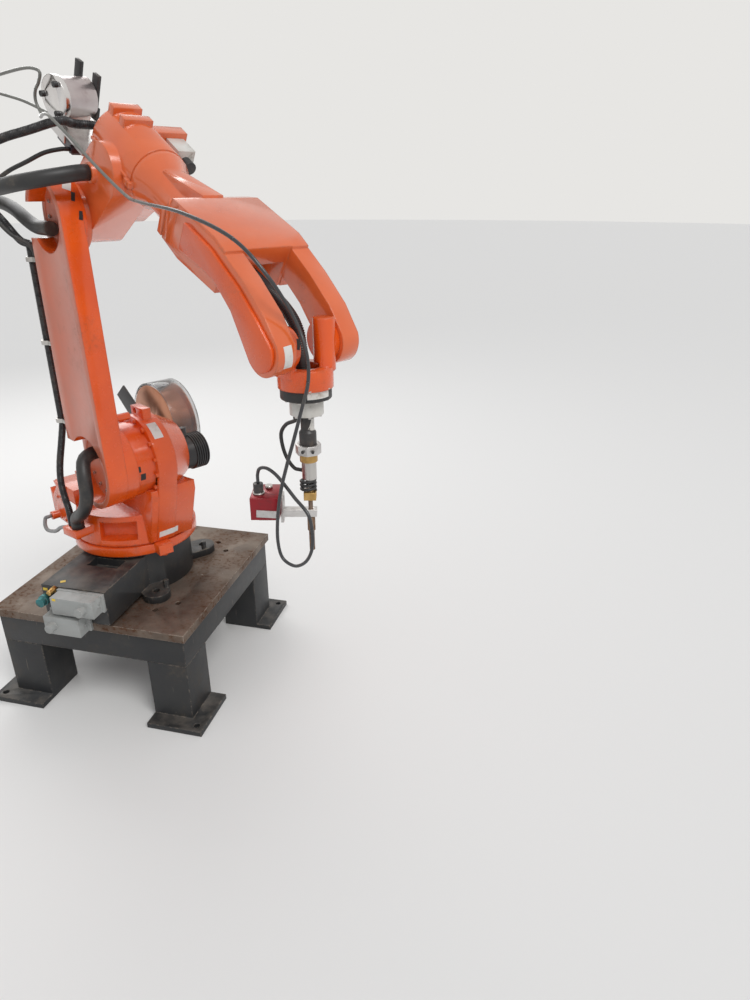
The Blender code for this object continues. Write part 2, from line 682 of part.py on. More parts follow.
def build_stand():
    """The thick top plate, the aprons and the legs with their foot plates."""
    half_x, half_y = STAND_WIDTH / 2, STAND_DEPTH / 2
    under = STAND_HEIGHT - TOP_PLATE_THICK
    holes = []
    for side_x in (-1, 1):
        for side_y in (-1, 1):
            for shift in (0, SPARE_HOLE_PITCH):
                at = (side_x * (LUG_X + SPARE_HOLE_OUT_X + shift),
                      side_y * (LUG_Y + SPARE_HOLE_OUT_Y - shift))
                holes.append(rod(SPARE_HOLE_RADIUS, (*at, under - OVERRUN), (*at, STAND_HEIGHT + OVERRUN),
                                 16))
    plate = block((-half_x, -half_y, under), (half_x, half_y, STAND_HEIGHT))
    piece("stand_top_plate", floor, STEEL, plate, cut=holes)
    outer_x, outer_y = half_x - APRON_INSET, half_y - APRON_INSET
    low, high = under - APRON_DROP, under - SEAT_GAP
    inner_x, inner_y = outer_x - APRON_THICK, outer_y - APRON_THICK
    inner = block((-inner_x, -inner_y, low - OVERRUN), (inner_x, inner_y, high + OVERRUN))
    piece("stand_apron", floor, BLACK, block((-outer_x, -outer_y, low), (outer_x, outer_y, high)),
          cut=[inner])
    names = {(-1, -1): "front_left", (1, -1): "front_right", (-1, 1): "back_left", (1, 1): "back_right"}
    top = low - SEAT_GAP
    for (side_x, side_y), name in names.items():
        corner_x, corner_y = side_x * outer_x, side_y * outer_y
        inner_corner = (corner_x - side_x * LEG_WIDTH, corner_y - side_y * LEG_WIDTH)
        leg = block_between((corner_x, corner_y, 0), (*inner_corner, top))
        foot_corner = (corner_x + side_x * FOOT_PLATE_REACH, corner_y + side_y * FOOT_PLATE_REACH)
        foot = block_between((*foot_corner, 0), (*inner_corner, FOOT_PLATE_THICK))
        anchor_at = ((corner_x + foot_corner[0]) / 2, (corner_y + foot_corner[1]) / 2)
        anchor = rod(ANCHOR_HOLE_RADIUS, (*anchor_at, -OVERRUN), (*anchor_at, FOOT_PLATE_THICK + OVERRUN),
                     16)
        piece(f"stand_leg_{name}", floor, BLACK, leg, join=[foot], cut=[anchor])


def build_connector(name, spans, gland_side):
    """A rectangular connector hood on the base's panel, with its foot, lever and gland."""
    low_x, high_x, low_z, high_z = spans
    front = -BOX_FRONT - SEAT_GAP
    foot = block((low_x - HOOD_FOOT_SPREAD, front - HOOD_FOOT_THICK, low_z),
                 (high_x + HOOD_FOOT_SPREAD, front, high_z))
    body = block((low_x, front - HOOD_REACH, low_z + SKIN),
                 (high_x, front - HOOD_FOOT_THICK / 2, high_z - SKIN))
    middle_z = (low_z + high_z) / 2
    gland_x = (low_x + high_x) / 2 + gland_side * (high_x - low_x) / 4
    gland_y = front - HOOD_REACH
    gland = rod(HOOD_GLAND_RADIUS, (gland_x, gland_y + SKIN, middle_z),
                (gland_x, gland_y - HOOD_GLAND_LENGTH, middle_z), 16)
    lever_y = front - HOOD_REACH / 2
    lever = rod(HOOD_LEVER_RADIUS, (low_x - HOOD_LEVER_OUT, lever_y, middle_z),
                (high_x + HOOD_LEVER_OUT, lever_y, middle_z), 8)
    piece(name, base, GREY, foot, join=[body, gland, lever])


def build_base():
    """The black cast base with its foot lugs, the rear box and the connectors on its panel."""
    foot = SEAT_GAP
    body = rod(BASE_RADIUS, (0, 0, foot), (0, 0, BASE_HEIGHT), 64)
    lugs, holes, bolts = [], [], []
    for side_x in (-1, 1):
        for side_y in (-1, 1):
            at = (side_x * LUG_X, side_y * LUG_Y)
            lugs.append(slab(belt((0, 0), LUG_RADIUS, at, LUG_RADIUS * 0.9), foot, foot + LUG_THICK, "XY"))
            holes.append(rod(LUG_HOLE_RADIUS, (*at, -OVERRUN), (*at, LUG_THICK + OVERRUN), 20))
            bolt_at = (at[0] + side_x * LUG_RADIUS * 0.45, at[1] - side_y * LUG_RADIUS * 0.55)
            bolts.append(rod(LUG_BOLT_RADIUS, (*bolt_at, LUG_THICK / 2), (*bolt_at, LUG_BOLT_HEIGHT), 6))
    box = block((-BOX_HALF_WIDTH, -BOX_FRONT, BOX_FLOOR), (BOX_HALF_WIDTH, 0, BOX_HEIGHT))
    pocket_end = -BASE_RADIUS - OVERRUN
    pocket = block((-BOX_HALF_WIDTH * 0.4, pocket_end - POCKET_LENGTH, BOX_HEIGHT - POCKET_DEPTH),
                   (BOX_HALF_WIDTH * 0.6, pocket_end, BOX_HEIGHT + OVERRUN))
    piece("base_casting", base, BLACK, body, join=[*lugs, box, *bolts], cut=[*holes, pocket])
    build_connector("power_connector", POWER_HOOD, 1)
    build_connector("signal_connector", SIGNAL_HOOD, -1)
    front = -BOX_FRONT - SEAT_GAP
    end = front - ROUND_PLUG_LENGTH
    plug = rod(ROUND_PLUG_RADIUS, (ROUND_PLUG_X, front, ROUND_PLUG_Z), (ROUND_PLUG_X, end, ROUND_PLUG_Z),
               24)
    grip = rod(ROUND_PLUG_GRIP_RADIUS, (ROUND_PLUG_X, front - ROUND_PLUG_LENGTH / 3, ROUND_PLUG_Z),
               (ROUND_PLUG_X, front - ROUND_PLUG_LENGTH * 2 / 3, ROUND_PLUG_Z), 24)
    piece("round_connector", base, TEAL, plug, join=[grip])
    fitting = rod(AIR_FITTING_RADIUS, (AIR_FITTING_X, front, AIR_FITTING_Z),
                  (AIR_FITTING_X, front - AIR_FITTING_LENGTH, AIR_FITTING_Z), 16)
    hexagon = rod(AIR_FITTING_RADIUS * 1.3, (AIR_FITTING_X, front, AIR_FITTING_Z),
                  (AIR_FITTING_X, front - AIR_FITTING_LENGTH / 3, AIR_FITTING_Z), 6)
    piece("air_fitting", base, BRASS, fitting, join=[hexagon])


def build_turret():
    """The orange turret casting with its ring, gear housing, shoulder hub and bolts."""
    low = BASE_HEIGHT + SEAT_GAP
    ring_top = low + TURRET_RING_HEIGHT
    skirt_low = ring_top + TURRET_GROOVE_HEIGHT
    deck = SHOULDER_HEIGHT - TURRET_DECK_UNDER_SHOULDER
    axis_x, axis_z = SHOULDER_REACH, SHOULDER_HEIGHT
    ring = rod(TURRET_RING_RADIUS, (0, 0, low), (0, 0, ring_top), 72)
    groove_radius = TURRET_SKIRT_RADIUS - TURRET_GROOVE_DEPTH
    groove = rod(groove_radius, (0, 0, ring_top - SKIN), (0, 0, skirt_low + SKIN), 72)
    skirt = rod(TURRET_SKIRT_RADIUS, (0, 0, skirt_low), (0, 0, deck), 72, TURRET_DECK_RADIUS)
    outline = [(COLUMN_BACK, skirt_low + SKIN), (COLUMN_FOOT_FRONT, skirt_low + SKIN),
               (COLUMN_FRONT, axis_z - HOUSING_RADIUS * 0.8)]
    outline += arc((axis_x, axis_z), HOUSING_RADIUS, -25, 200, 28)
    outline += [(COLUMN_BACK, deck + OVERRUN)]
    housing = slab(outline, HOUSING_NEAR, HOUSING_TAPER_START)
    taper = rod(HOUSING_RADIUS - SKIN, (axis_x, HOUSING_TAPER_START - SKIN, axis_z),
                (axis_x, HOUSING_FAR, axis_z), 64, HOUSING_FAR_RADIUS)
    column_top = axis_z - HOUSING_RADIUS * 0.6
    foot_outline = [(COLUMN_BACK + SKIN, skirt_low + 2 * SKIN),
                    (COLUMN_FOOT_FRONT - SKIN, skirt_low + 2 * SKIN),
                    (COLUMN_FRONT - SKIN, axis_z - HOUSING_RADIUS * 0.82),
                    (COLUMN_FRONT - 2 * SKIN, column_top),
                    (COLUMN_BACK + SKIN, column_top - HOUSING_RADIUS * 0.3)]
    column = slab(foot_outline, COLUMN_NEAR, HOUSING_FAR - SKIN)
    hub = rod(SHOULDER_HUB_RADIUS, (axis_x, SHOULDER_HUB_NEAR, axis_z),
              (axis_x, HOUSING_NEAR + OVERRUN, axis_z), 64)
    bolts = []
    for u, v in ring_places(SHOULDER_BOLTS, SHOULDER_BOLT_CIRCLE, math.pi / SHOULDER_BOLTS):
        start = (axis_x + u, HOUSING_NEAR - BOLT_HEAD_HEIGHT, axis_z + v)
        bolts.append(rod(BOLT_HEAD_RADIUS, start, (start[0], HOUSING_NEAR + SKIN, start[2]), 8))
    lug_x = axis_x - HOUSING_RADIUS * 0.2
    lug_top = axis_z + HOUSING_RADIUS + LIFTING_LUG_RISE
    lug = block((lug_x, -LIFTING_LUG_THICK / 2, axis_z),
                (lug_x + LIFTING_LUG_WIDTH, LIFTING_LUG_THICK / 2, lug_top))
    lug_hole = rod(LIFTING_LUG_HOLE, (lug_x + LIFTING_LUG_WIDTH / 3, -LIFTING_LUG_THICK,
                                      lug_top - LIFTING_LUG_RISE / 2),
                   (lug_x + LIFTING_LUG_WIDTH / 3, LIFTING_LUG_THICK, lug_top - LIFTING_LUG_RISE / 2), 16)
    stop = spun(block((TURRET_SKIRT_RADIUS - OVERRUN, -STOP_WIDTH / 2, low + SKIN),
                      (STOP_REACH, STOP_WIDTH / 2, skirt_low)), STOP_TURN)
    stop_bolt_x = (TURRET_RING_RADIUS + STOP_REACH) / 2
    stop_bolt = spun(rod(STOP_WIDTH / 4, (stop_bolt_x, 0, low - STOP_DROP),
                         (stop_bolt_x, 0, low + OVERRUN), 12), STOP_TURN)
    pocket_outer = TURRET_RING_RADIUS + OVERRUN
    pocket_low = skirt_low + (deck - skirt_low - SKIRT_POCKET_HEIGHT) / 2
    pocket = spun(block((TURRET_DECK_RADIUS - SKIRT_POCKET_DEPTH, -SKIRT_POCKET_WIDTH / 2, pocket_low),
                        (pocket_outer, SKIRT_POCKET_WIDTH / 2, pocket_low + SKIRT_POCKET_HEIGHT)),
                  SKIRT_POCKET_TURN)
    tie = spun(block((TURRET_DECK_RADIUS - OVERRUN, -TIE_WIDTH / 2, tie_top() - TIE_HEIGHT),
                     (TIE_REACH, TIE_WIDTH / 2, tie_top())), TIE_TURN)
    piece("turret_casting", turret, ORANGE, ring, join=[groove, skirt, housing, taper, column, hub, *bolts,
                                                        lug, stop, stop_bolt, tie],
          cut=[lug_hole, pocket])
    build_turret_cover(deck, skirt_low)
    build_spool_side()


def tie_top():
    """The height of the cable tie block's top face above the base's foot."""
    return SHOULDER_HEIGHT - TIE_UNDER_SHOULDER


def cover_gland_place():
    """The cable gland's axis on the motor cover, and the plate's face that it stands on."""
    skirt_low = BASE_HEIGHT + SEAT_GAP + TURRET_RING_HEIGHT + TURRET_GROOVE_HEIGHT
    return (COVER_BACK + GLAND_RADIUS * 2.6, COVER_NEAR - COVER_PLATE,
            skirt_low + SKIN + GLAND_RADIUS * 1.3)


def build_turret_cover(deck, skirt_low):
    """The chamfered cover of the turret's own motor, with its front plate, bolts and cable gland."""
    low = deck + SEAT_GAP
    high = low + COVER_HEIGHT
    far = COLUMN_NEAR - SEAT_GAP
    box = block((COVER_BACK, COVER_NEAR, low), (COVER_FRONT, far, high))
    plate_low = skirt_low + SKIN
    plate = block((COVER_BACK, COVER_NEAR - COVER_PLATE, plate_low),
                  (COVER_PLATE_FRONT, COVER_NEAR + SKIN, high - SKIN))
    chamfer_at = Matrix.Translation((COVER_BACK, COVER_NEAR, high)) @ Matrix.Rotation(math.pi / 4, 4, "Y")
    corner = block((-COVER_CHAMFER, -COVER_CHAMFER, -COVER_CHAMFER / 2),
                   (COVER_CHAMFER, COVER_CHAMFER * 2, COVER_CHAMFER / 2))
    bmesh.ops.transform(corner, matrix=chamfer_at, verts=corner.verts)
    bolts = []
    for share_x in (0.3, 0.5, 0.64):
        for share_z in (0.08, 0.60):
            at_x = COVER_BACK + share_x * (COVER_FRONT - COVER_BACK)
            at_z = plate_low + share_z * (high - plate_low)
            face = COVER_NEAR - COVER_PLATE
            bolts.append(rod(BOLT_HEAD_RADIUS * 0.7, (at_x, face - BOLT_HEAD_HEIGHT / 2, at_z),
                             (at_x, face + SKIN, at_z), 8))
    gland_x, face, gland_z = cover_gland_place()
    gland = rod(GLAND_RADIUS, (gland_x, face - GLAND_LENGTH, gland_z), (gland_x, face + SKIN, gland_z), 20)
    piece("turret_motor_cover", turret, ORANGE, box, join=[plate, *bolts, gland], cut=[corner])


def build_spool_side():
    """The shoulder motor, and the wire spool with its bracket and clear cover."""
    axis = (SHOULDER_REACH, SHOULDER_HEIGHT)
    at = (axis[0] + MOTOR_FORWARD, axis[1] - MOTOR_DROP)
    start = HOUSING_FAR + SEAT_GAP
    end = start + MOTOR_LENGTH
    profile = [(0, end), (MOTOR_RADIUS - 2 * MOTOR_FIN_DEPTH, end)]
    for fin in range(MOTOR_FINS):
        top = end - MOTOR_FIN_DEPTH - fin * MOTOR_FIN_STEP
        profile += [(MOTOR_RADIUS - MOTOR_FIN_DEPTH, top), (MOTOR_RADIUS, top),
                    (MOTOR_RADIUS, top - MOTOR_FIN_STEP / 2),
                    (MOTOR_RADIUS - MOTOR_FIN_DEPTH, top - MOTOR_FIN_STEP / 2)]
    profile += [(MOTOR_RADIUS - MOTOR_FIN_DEPTH, start), (0, start)]
    motor = turned(profile, (at[0], 0, at[1]), (0, 1, 0), 36)
    plug_y = start + MOTOR_LENGTH / 4
    plug = rod(MOTOR_PLUG_RADIUS, (at[0], plug_y, at[1]),
               (at[0], plug_y, at[1] + MOTOR_RADIUS + MOTOR_PLUG_HEIGHT), 16)
    piece("shoulder_motor", turret, BLACK, motor, join=[plug])
    hub = (axis[0] - SPOOL_BACK, axis[1] + SPOOL_RISE)
    outline = [(hub[0] + u * BRACKET_SCALE, hub[1] + v * BRACKET_SCALE) for u, v in BRACKET_SHARES]
    plate = slab(outline, start, start + BRACKET_THICK)
    spool_end = SPOOL_START + SPOOL_WIDTH
    cover_end = spool_end + SPOOL_COVER_GAP + SPOOL_COVER_WALL
    spindle = rod(SPINDLE_RADIUS, (hub[0], start + BRACKET_THICK / 2, hub[1]),
                  (hub[0], cover_end + SPINDLE_NUT_LENGTH, hub[1]), 24)
    shoulder = rod(SPINDLE_NUT_RADIUS, (hub[0], start + BRACKET_THICK / 2, hub[1]),
                   (hub[0], SPOOL_START - SEAT_GAP, hub[1]), 24)
    nut = rod(SPINDLE_NUT_RADIUS, (hub[0], cover_end + SEAT_GAP, hub[1]),
              (hub[0], cover_end + SPINDLE_NUT_LENGTH, hub[1]), 6)
    piece("spool_bracket", turret, BLACK, plate, join=[shoulder, spindle, nut])
    bore = SPINDLE_RADIUS + SEAT_GAP
    far_flange = spool_end - SPOOL_FLANGE
    near_flange = SPOOL_START + SPOOL_FLANGE
    spool = [(bore, spool_end), (SPOOL_RADIUS, spool_end), (SPOOL_RADIUS, far_flange),
             (SPOOL_WIRE_RADIUS, far_flange),
             (SPOOL_WIRE_RADIUS, near_flange), (SPOOL_RADIUS, near_flange), (SPOOL_RADIUS, SPOOL_START),
             (bore, SPOOL_START),
             (bore, spool_end)]
    piece("wire_spool", turret, COPPER, turned(spool, (hub[0], 0, hub[1]), (0, 1, 0), 64))
    inner = SPOOL_RADIUS + SPOOL_COVER_GAP
    outer = inner + SPOOL_COVER_WALL
    cover = [(bore, cover_end), (outer, cover_end), (outer, SPOOL_START), (inner, SPOOL_START),
             (inner, cover_end - SPOOL_COVER_WALL), (bore, cover_end - SPOOL_COVER_WALL), (bore, cover_end)]
    piece("spool_cover", turret, CLEAR, turned(cover, (hub[0], 0, hub[1]), (0, 1, 0), 64))


def build_upper_arm():
    """The upper arm casting with its open lower and upper ends and the conduit's clips."""
    top = (0, UPPER_ARM_LENGTH)
    shaft = slab(belt((0, 0), ARM_BOSS_RADIUS, top, ARM_TOP_RADIUS, 24), ARM_OUTER, ARM_INNER)
    boss_start = ARM_INNER - 2 * SKIN
    lower_boss = rod(ARM_BOSS_RADIUS - BOSS_STEP, (0, boss_start, 0), (0, ARM_BOSS_INNER, 0), 64)
    upper_boss = rod(ARM_TOP_RADIUS - BOSS_STEP, (0, boss_start, top[1]), (0, ARM_TOP_INNER, top[1]), 64)
    cup_floor = ARM_OUTER + ARM_CUP_DEPTH
    lower_cup = rod(ARM_LOWER_OPENING, (0, ARM_OUTER - OVERRUN, 0), (0, cup_floor, 0), 64)
    upper_cup = rod(ARM_UPPER_OPENING, (0, ARM_OUTER - OVERRUN, top[1]), (0, cup_floor, top[1]), 64)
    lower_notch = block((-ARM_BOSS_RADIUS - OVERRUN, ARM_OUTER - OVERRUN, -ARM_NOTCH_WIDTH / 3),
                        (0, cup_floor - SKIN, ARM_NOTCH_WIDTH * 2 / 3))
    upper_notch = block((-ARM_TOP_RADIUS - OVERRUN, ARM_OUTER - OVERRUN, top[1] - ARM_NOTCH_WIDTH / 2),
                        (0, cup_floor - SKIN, top[1] + ARM_NOTCH_WIDTH / 3))
    stub_x = ARM_BOSS_RADIUS * 0.62
    stub = rod(ARM_STUB_RADIUS, (stub_x, ARM_INNER - OVERRUN, ARM_STUB_RISE),
               (stub_x, ARM_INNER + ARM_STUB_LENGTH, ARM_STUB_RISE), 16)
    clips, bores = [], []
    for share in CLIP_SHARES:
        at_x, at_y, at_z = conduit_point(share)
        edge = conduit_edge(share)
        clips.append(rod(CLIP_RADIUS, (at_x, at_y, at_z - CLIP_WIDTH / 2),
                         (at_x, at_y, at_z + CLIP_WIDTH / 2), 20))
        clips.append(block((at_x, at_y - CLIP_RADIUS / 3, at_z - CLIP_WIDTH / 2),
                           (edge + OVERRUN, at_y + CLIP_RADIUS / 3, at_z + CLIP_WIDTH / 2)))
        bores.append(rod(CONDUIT_RADIUS + CLIP_BORE_GAP, (at_x, at_y, at_z - CLIP_WIDTH),
                         (at_x, at_y, at_z + CLIP_WIDTH), 20))
    piece("upper_arm_casting", upper_arm, ORANGE, shaft, join=[lower_boss, upper_boss, stub, *clips],
          cut=[lower_cup, upper_cup, lower_notch, upper_notch, *bores])


def conduit_edge(share):
    """Where the upper arm's rear edge lies at a share of its length."""
    return -(ARM_BOSS_RADIUS + (ARM_TOP_RADIUS - ARM_BOSS_RADIUS) * share)


def conduit_point(share):
    """The conduit's place behind the upper arm at a share of its length."""
    return (conduit_edge(share) - CONDUIT_BACK, (ARM_OUTER + ARM_INNER) / 2 - CONDUIT_STAND_OFF,
            UPPER_ARM_LENGTH * share)


def build_elbow():
    """The elbow casting with the barrel of the forearm's roll drive, and the drive's motor."""
    near = ARM_TOP_INNER + SEAT_GAP
    flange = rod(ELBOW_FLANGE_RADIUS, (0, near, 0), (0, near + ELBOW_FLANGE_THICK, 0), 64)
    neck_at = (ELBOW_NECK_FORWARD, ELBOW_OFFSET - ELBOW_NECK_DROP)
    fist = slab(belt((0, 0), ELBOW_FIST_RADIUS, neck_at, ELBOW_NECK_RADIUS * 0.8),
                near + ELBOW_FLANGE_THICK - SKIN, ELBOW_FIST_FAR)
    web_at = (ELBOW_FIST_RADIUS / 3, ELBOW_WEB_RISE)
    web = slab(belt(web_at, ELBOW_WEB_RADIUS, neck_at, ELBOW_NECK_RADIUS * 0.75), ELBOW_FIST_FAR - SKIN,
               ELBOW_WEB_FAR)
    axis = ELBOW_OFFSET
    barrel = rod(BARREL_RADIUS, (0, 0, axis), (BARREL_SEAM - SEAT_GAP, 0, axis), 72)
    boss = rod(BACK_BOSS_RADIUS, (-BACK_BOSS_LENGTH, 0, axis), (OVERRUN, 0, axis), 48)
    extras = [flange, barrel, boss]
    for start in PAD_STARTS:
        extras.append(block((start + SKIN, PAD_SHIFT - PAD_WIDTH / 2, axis),
                            (start + PAD_LENGTH, PAD_SHIFT + PAD_WIDTH / 2, axis + PAD_TOP)))
    for drop in (0, BARREL_RADIUS * 0.45):
        out = math.sqrt(BARREL_RADIUS ** 2 - drop ** 2) + RIB_OUT
        extras.append(block((SKIN, -out, axis - drop - RIB_THICK),
                            (BARREL_SEAM - MARK_LENGTH, 0, axis - drop)))
    mark_y = -BARREL_RADIUS - MARK_OUT
    extras.append(block((BARREL_SEAM - MARK_LENGTH - SKIN, mark_y, axis - 2 * MARK_OUT),
                        (BARREL_SEAM - SEAT_GAP, 0, axis - RIB_THICK / 2)))
    extras.append(block((ROLL_COVER_START, BARREL_RADIUS / 2, axis + ROLL_COVER_BOTTOM),
                        (ROLL_COVER_END, ROLL_COVER_FAR, axis + ROLL_COVER_TOP)))
    fist_near = near + ELBOW_FLANGE_THICK - SKIN
    extras.append(rod(HOSE_GLAND_RADIUS, (HOSE_GLAND_FORWARD, fist_near - HOSE_GLAND_LENGTH,
                                          HOSE_GLAND_RISE),
                      (HOSE_GLAND_FORWARD, fist_near + OVERRUN, HOSE_GLAND_RISE), 32))
    piece("elbow_casting", elbow, ORANGE, fist, join=[web, *extras])
    motor_y = BARREL_RADIUS + SKIN
    motor = block((ROLL_COVER_END + SEAT_GAP, motor_y, axis + ROLL_MOTOR_BOTTOM),
                  (ROLL_COVER_END + ROLL_MOTOR_LENGTH, motor_y + ROLL_MOTOR_WIDTH, axis + ROLL_MOTOR_TOP))
    plug_y = motor_y + ROLL_MOTOR_WIDTH / 2
    plug_z = axis + (ROLL_MOTOR_TOP + ROLL_MOTOR_BOTTOM) / 2
    plug = rod(ROLL_PLUG_RADIUS, (ROLL_COVER_END + ROLL_MOTOR_LENGTH - SKIN, plug_y, plug_z),
               (ROLL_COVER_END + ROLL_MOTOR_LENGTH + ROLL_PLUG_LENGTH, plug_y, plug_z), 20)
    piece("roll_motor", elbow, WHITE, motor, join=[plug])


def build_feeder():
    """The wire feeder behind the elbow: bracket, drum with its clear disc, levers and motor."""
    axis = ELBOW_OFFSET
    centre = axis + FEEDER_RISE
    plate_top = axis - FEEDER_PLATE_DROP
    plate_low = plate_top - FEEDER_PLATE_THICK
    front = -BACK_BOSS_LENGTH - SEAT_GAP
    plate = block((FEEDER_PLATE_BACK, FEEDER_PLATE_NEAR, plate_low), (front, FEEDER_PLATE_FAR, plate_top))
    flange = block((FEEDER_PLATE_BACK + SKIN, FEEDER_PLATE_NEAR, plate_top - FEEDER_FLANGE_DROP),
                   (FEEDER_FLANGE_FRONT, FEEDER_PLATE_NEAR + FEEDER_FLANGE_THICK, plate_top - SKIN))
    leg = block((front - FEEDER_PLATE_THICK, FEEDER_LEG_NEAR, plate_top - SKIN),
                (front, FEEDER_PLATE_FAR, axis + FEEDER_LEG_TOP))
    saddle = block((FEEDER_BACK - FEEDER_SADDLE_HALF, FEEDER_SADDLE_NEAR, plate_top - SKIN),
                   (FEEDER_BACK + FEEDER_SADDLE_HALF, FEEDER_SADDLE_FAR, centre - FEEDER_RADIUS / 2))
    clearance = feeder_rod(FEEDER_RADIUS + SEAT_GAP, -OVERRUN, FEEDER_LENGTH + OVERRUN)
    piece("feeder_bracket", elbow, BRIGHT, plate, join=[flange, leg, saddle], cut=[clearance])
    drum = feeder_rod(FEEDER_RADIUS, 0, FEEDER_LENGTH)
    disc = feeder_rod(FEEDER_DISC_RADIUS, -FEEDER_DISC_THICK, SKIN)
    knobs = []
    for u, v in ring_places(3, FEEDER_KNOB_CIRCLE, FEEDER_KNOB_TURN):
        knobs.append(feeder_rod(FEEDER_KNOB_RADIUS, -FEEDER_DISC_THICK - FEEDER_KNOB_REACH, 0, (u, v), 16))
    piece("feeder_drum", elbow, BRIGHT, drum, join=[disc, *knobs])
    start = FEEDER_LENGTH + SEAT_GAP
    across, heights = GEAR_PLATE_ACROSS_SHARES, GEAR_PLATE_HEIGHT_SHARES
    gear_plate = feeder_block((across[0] * FEEDER_RADIUS, start, heights[0] * FEEDER_RADIUS),
                              (across[1] * FEEDER_RADIUS, start + LEVER_THICK, heights[1] * FEEDER_RADIUS))
    levers = []
    for share in LEVER_SHARES:
        at = FEEDER_RADIUS * share
        levers.append(feeder_block((at - LEVER_WIDTH / 2, start + SKIN, heights[1] * FEEDER_RADIUS - SKIN),
                                   (at + LEVER_WIDTH / 2, start + LEVER_THICK + SKIN, LEVER_HEIGHT)))
    piece("feeder_levers", elbow, BLACK, gear_plate, join=levers)
    motor_top = plate_low - SEAT_GAP
    motor_low = motor_top - FEEDER_MOTOR_DROP
    motor = block((FEEDER_MOTOR_BACK, FEEDER_MOTOR_NEAR, motor_low),
                  (FEEDER_MOTOR_FRONT, FEEDER_MOTOR_FAR, motor_top))
    fitting = feeder_fitting_rod(FEEDER_FITTING_NEAR, FEEDER_MOTOR_FAR)
    piece("feeder_motor", elbow, BLACK, motor, join=[fitting])


def feeder_fitting_place():
    """The hose fitting's axis beside the feeder's motor."""
    return (FEEDER_MOTOR_FRONT + FEEDER_FITTING_RADIUS * 0.7,
            ELBOW_OFFSET - FEEDER_PLATE_DROP - FEEDER_PLATE_THICK - FEEDER_MOTOR_DROP / 2)


def feeder_fitting_rod(near, far):
    """The hexagonal hose fitting on the front of the feeder's motor."""
    at_x, at_z = feeder_fitting_place()
    return rod(FEEDER_FITTING_RADIUS, (at_x, near, at_z), (at_x, far, at_z), 6)


def feeder_place(shape):
    """Moves a shape made along +Y to the feeder's place and turn."""
    return moved(spun(shape, FEEDER_TURN), (FEEDER_BACK, FEEDER_NEAR, ELBOW_OFFSET + FEEDER_RISE))


def feeder_rod(radius, start, end, at=(0, 0), sides=64):
    """A cylinder along the feeder's axis."""
    return feeder_place(rod(radius, (at[0], start, at[1]), (at[0], end, at[1]), sides))


def feeder_block(low, high):
    """A box in the feeder's own directions."""
    return feeder_place(block(low, high))


def build_forearm():
    """The hollow fork that turns about the forearm's axis, and the cover of its wrist drive."""
    start = BARREL_SEAM
    neck = [(0, start + NECK_END), (NECK_END_RADIUS, start + NECK_END),
            (NECK_WAIST_RADIUS, start + NECK_WAIST_END),
            (NECK_WAIST_RADIUS, start + NECK_WAIST_START),
            (BARREL_RADIUS - SKIN, start + NECK_WAIST_START / 3),
            (BARREL_RADIUS - SKIN, start), (0, start)]
    root = turned(neck, (0, 0, 0), (1, 0, 0), 64)
    body_outline = shaped(FORK_BODY_SHARES, FOREARM_LENGTH, FORK_DEPTH)
    body = slab(body_outline, -FORK_OUTER + SKIN, FORK_OUTER - SKIN)
    hull = slab(shaped(FORK_HULL_SHARES, FOREARM_LENGTH, FORK_DEPTH), -FORK_HULL_HALF, FORK_HULL_HALF)
    rib = slab(shaped(FORK_RIB_SHARES, FOREARM_LENGTH, FORK_DEPTH), NECK_RIB_NEAR, NECK_RIB_FAR)
    prongs = []
    lower = shaped(FORK_PRONG_SHARES, FOREARM_LENGTH, FORK_DEPTH)
    crest = shaped(FORK_CREST_SHARES, FOREARM_LENGTH, FORK_DEPTH)
    outline = lower + arc((FOREARM_LENGTH, 0), PRONG_RADIUS, -112, 50, 20) + crest
    prongs.append(slab(outline, -FORK_OUTER, -FORK_INNER_HALF))
    prongs.append(slab(outline, FORK_INNER_HALF, FORK_OUTER))
    window_end = FOREARM_LENGTH + 2 * PRONG_RADIUS
    window = block((FORK_WINDOW_START, -FORK_INNER_HALF + PIN_GAP / 2, -2 * FORK_DEPTH),
                   (window_end, FORK_INNER_HALF - PIN_GAP / 2, 2 * FORK_DEPTH))
    cavity = block((FORK_CAVITY_START, -FORK_CAVITY_HALF, FORK_CAVITY_BOTTOM),
                   (FORK_WINDOW_START + OVERRUN, FORK_CAVITY_HALF, FORK_CAVITY_TOP))
    cuts = [window, cavity]
    for side in (-1, 1):
        wedge = [(FORK_PLAN_START - OVERRUN, side * FORK_PLAN_HALF), (FORK_PLAN_END, side * FORK_OUTER),
                 (FORK_PLAN_END, side * 2 * FORK_OUTER), (FORK_PLAN_START - OVERRUN, side * 2 * FORK_OUTER)]
        cuts.append(slab(wedge, -2 * FORK_DEPTH, 2 * FORK_DEPTH, "XY"))
    mark = block((start + SKIN / 2, -BARREL_RADIUS - MARK_OUT, -2 * MARK_OUT),
                 (start + MARK_LENGTH, 0, -RIB_THICK / 2))
    piece("forearm_fork", forearm, ORANGE, root, join=[body, hull, rib, *prongs, mark], cut=cuts)
    lower = shaped(DRIVE_COVER_SHARES, FOREARM_LENGTH, FORK_DEPTH)
    crest = shaped(DRIVE_COVER_CREST_SHARES, FOREARM_LENGTH, FORK_DEPTH)
    outline = lower + arc((FOREARM_LENGTH, 0), PRONG_RADIUS - DRIVE_COVER_MARGIN, -112, 50, 20) + crest
    outer = -FORK_OUTER - SEAT_GAP
    piece("wrist_drive_cover", forearm, ORANGE, slab(outline, outer - DRIVE_COVER_THICK, outer))


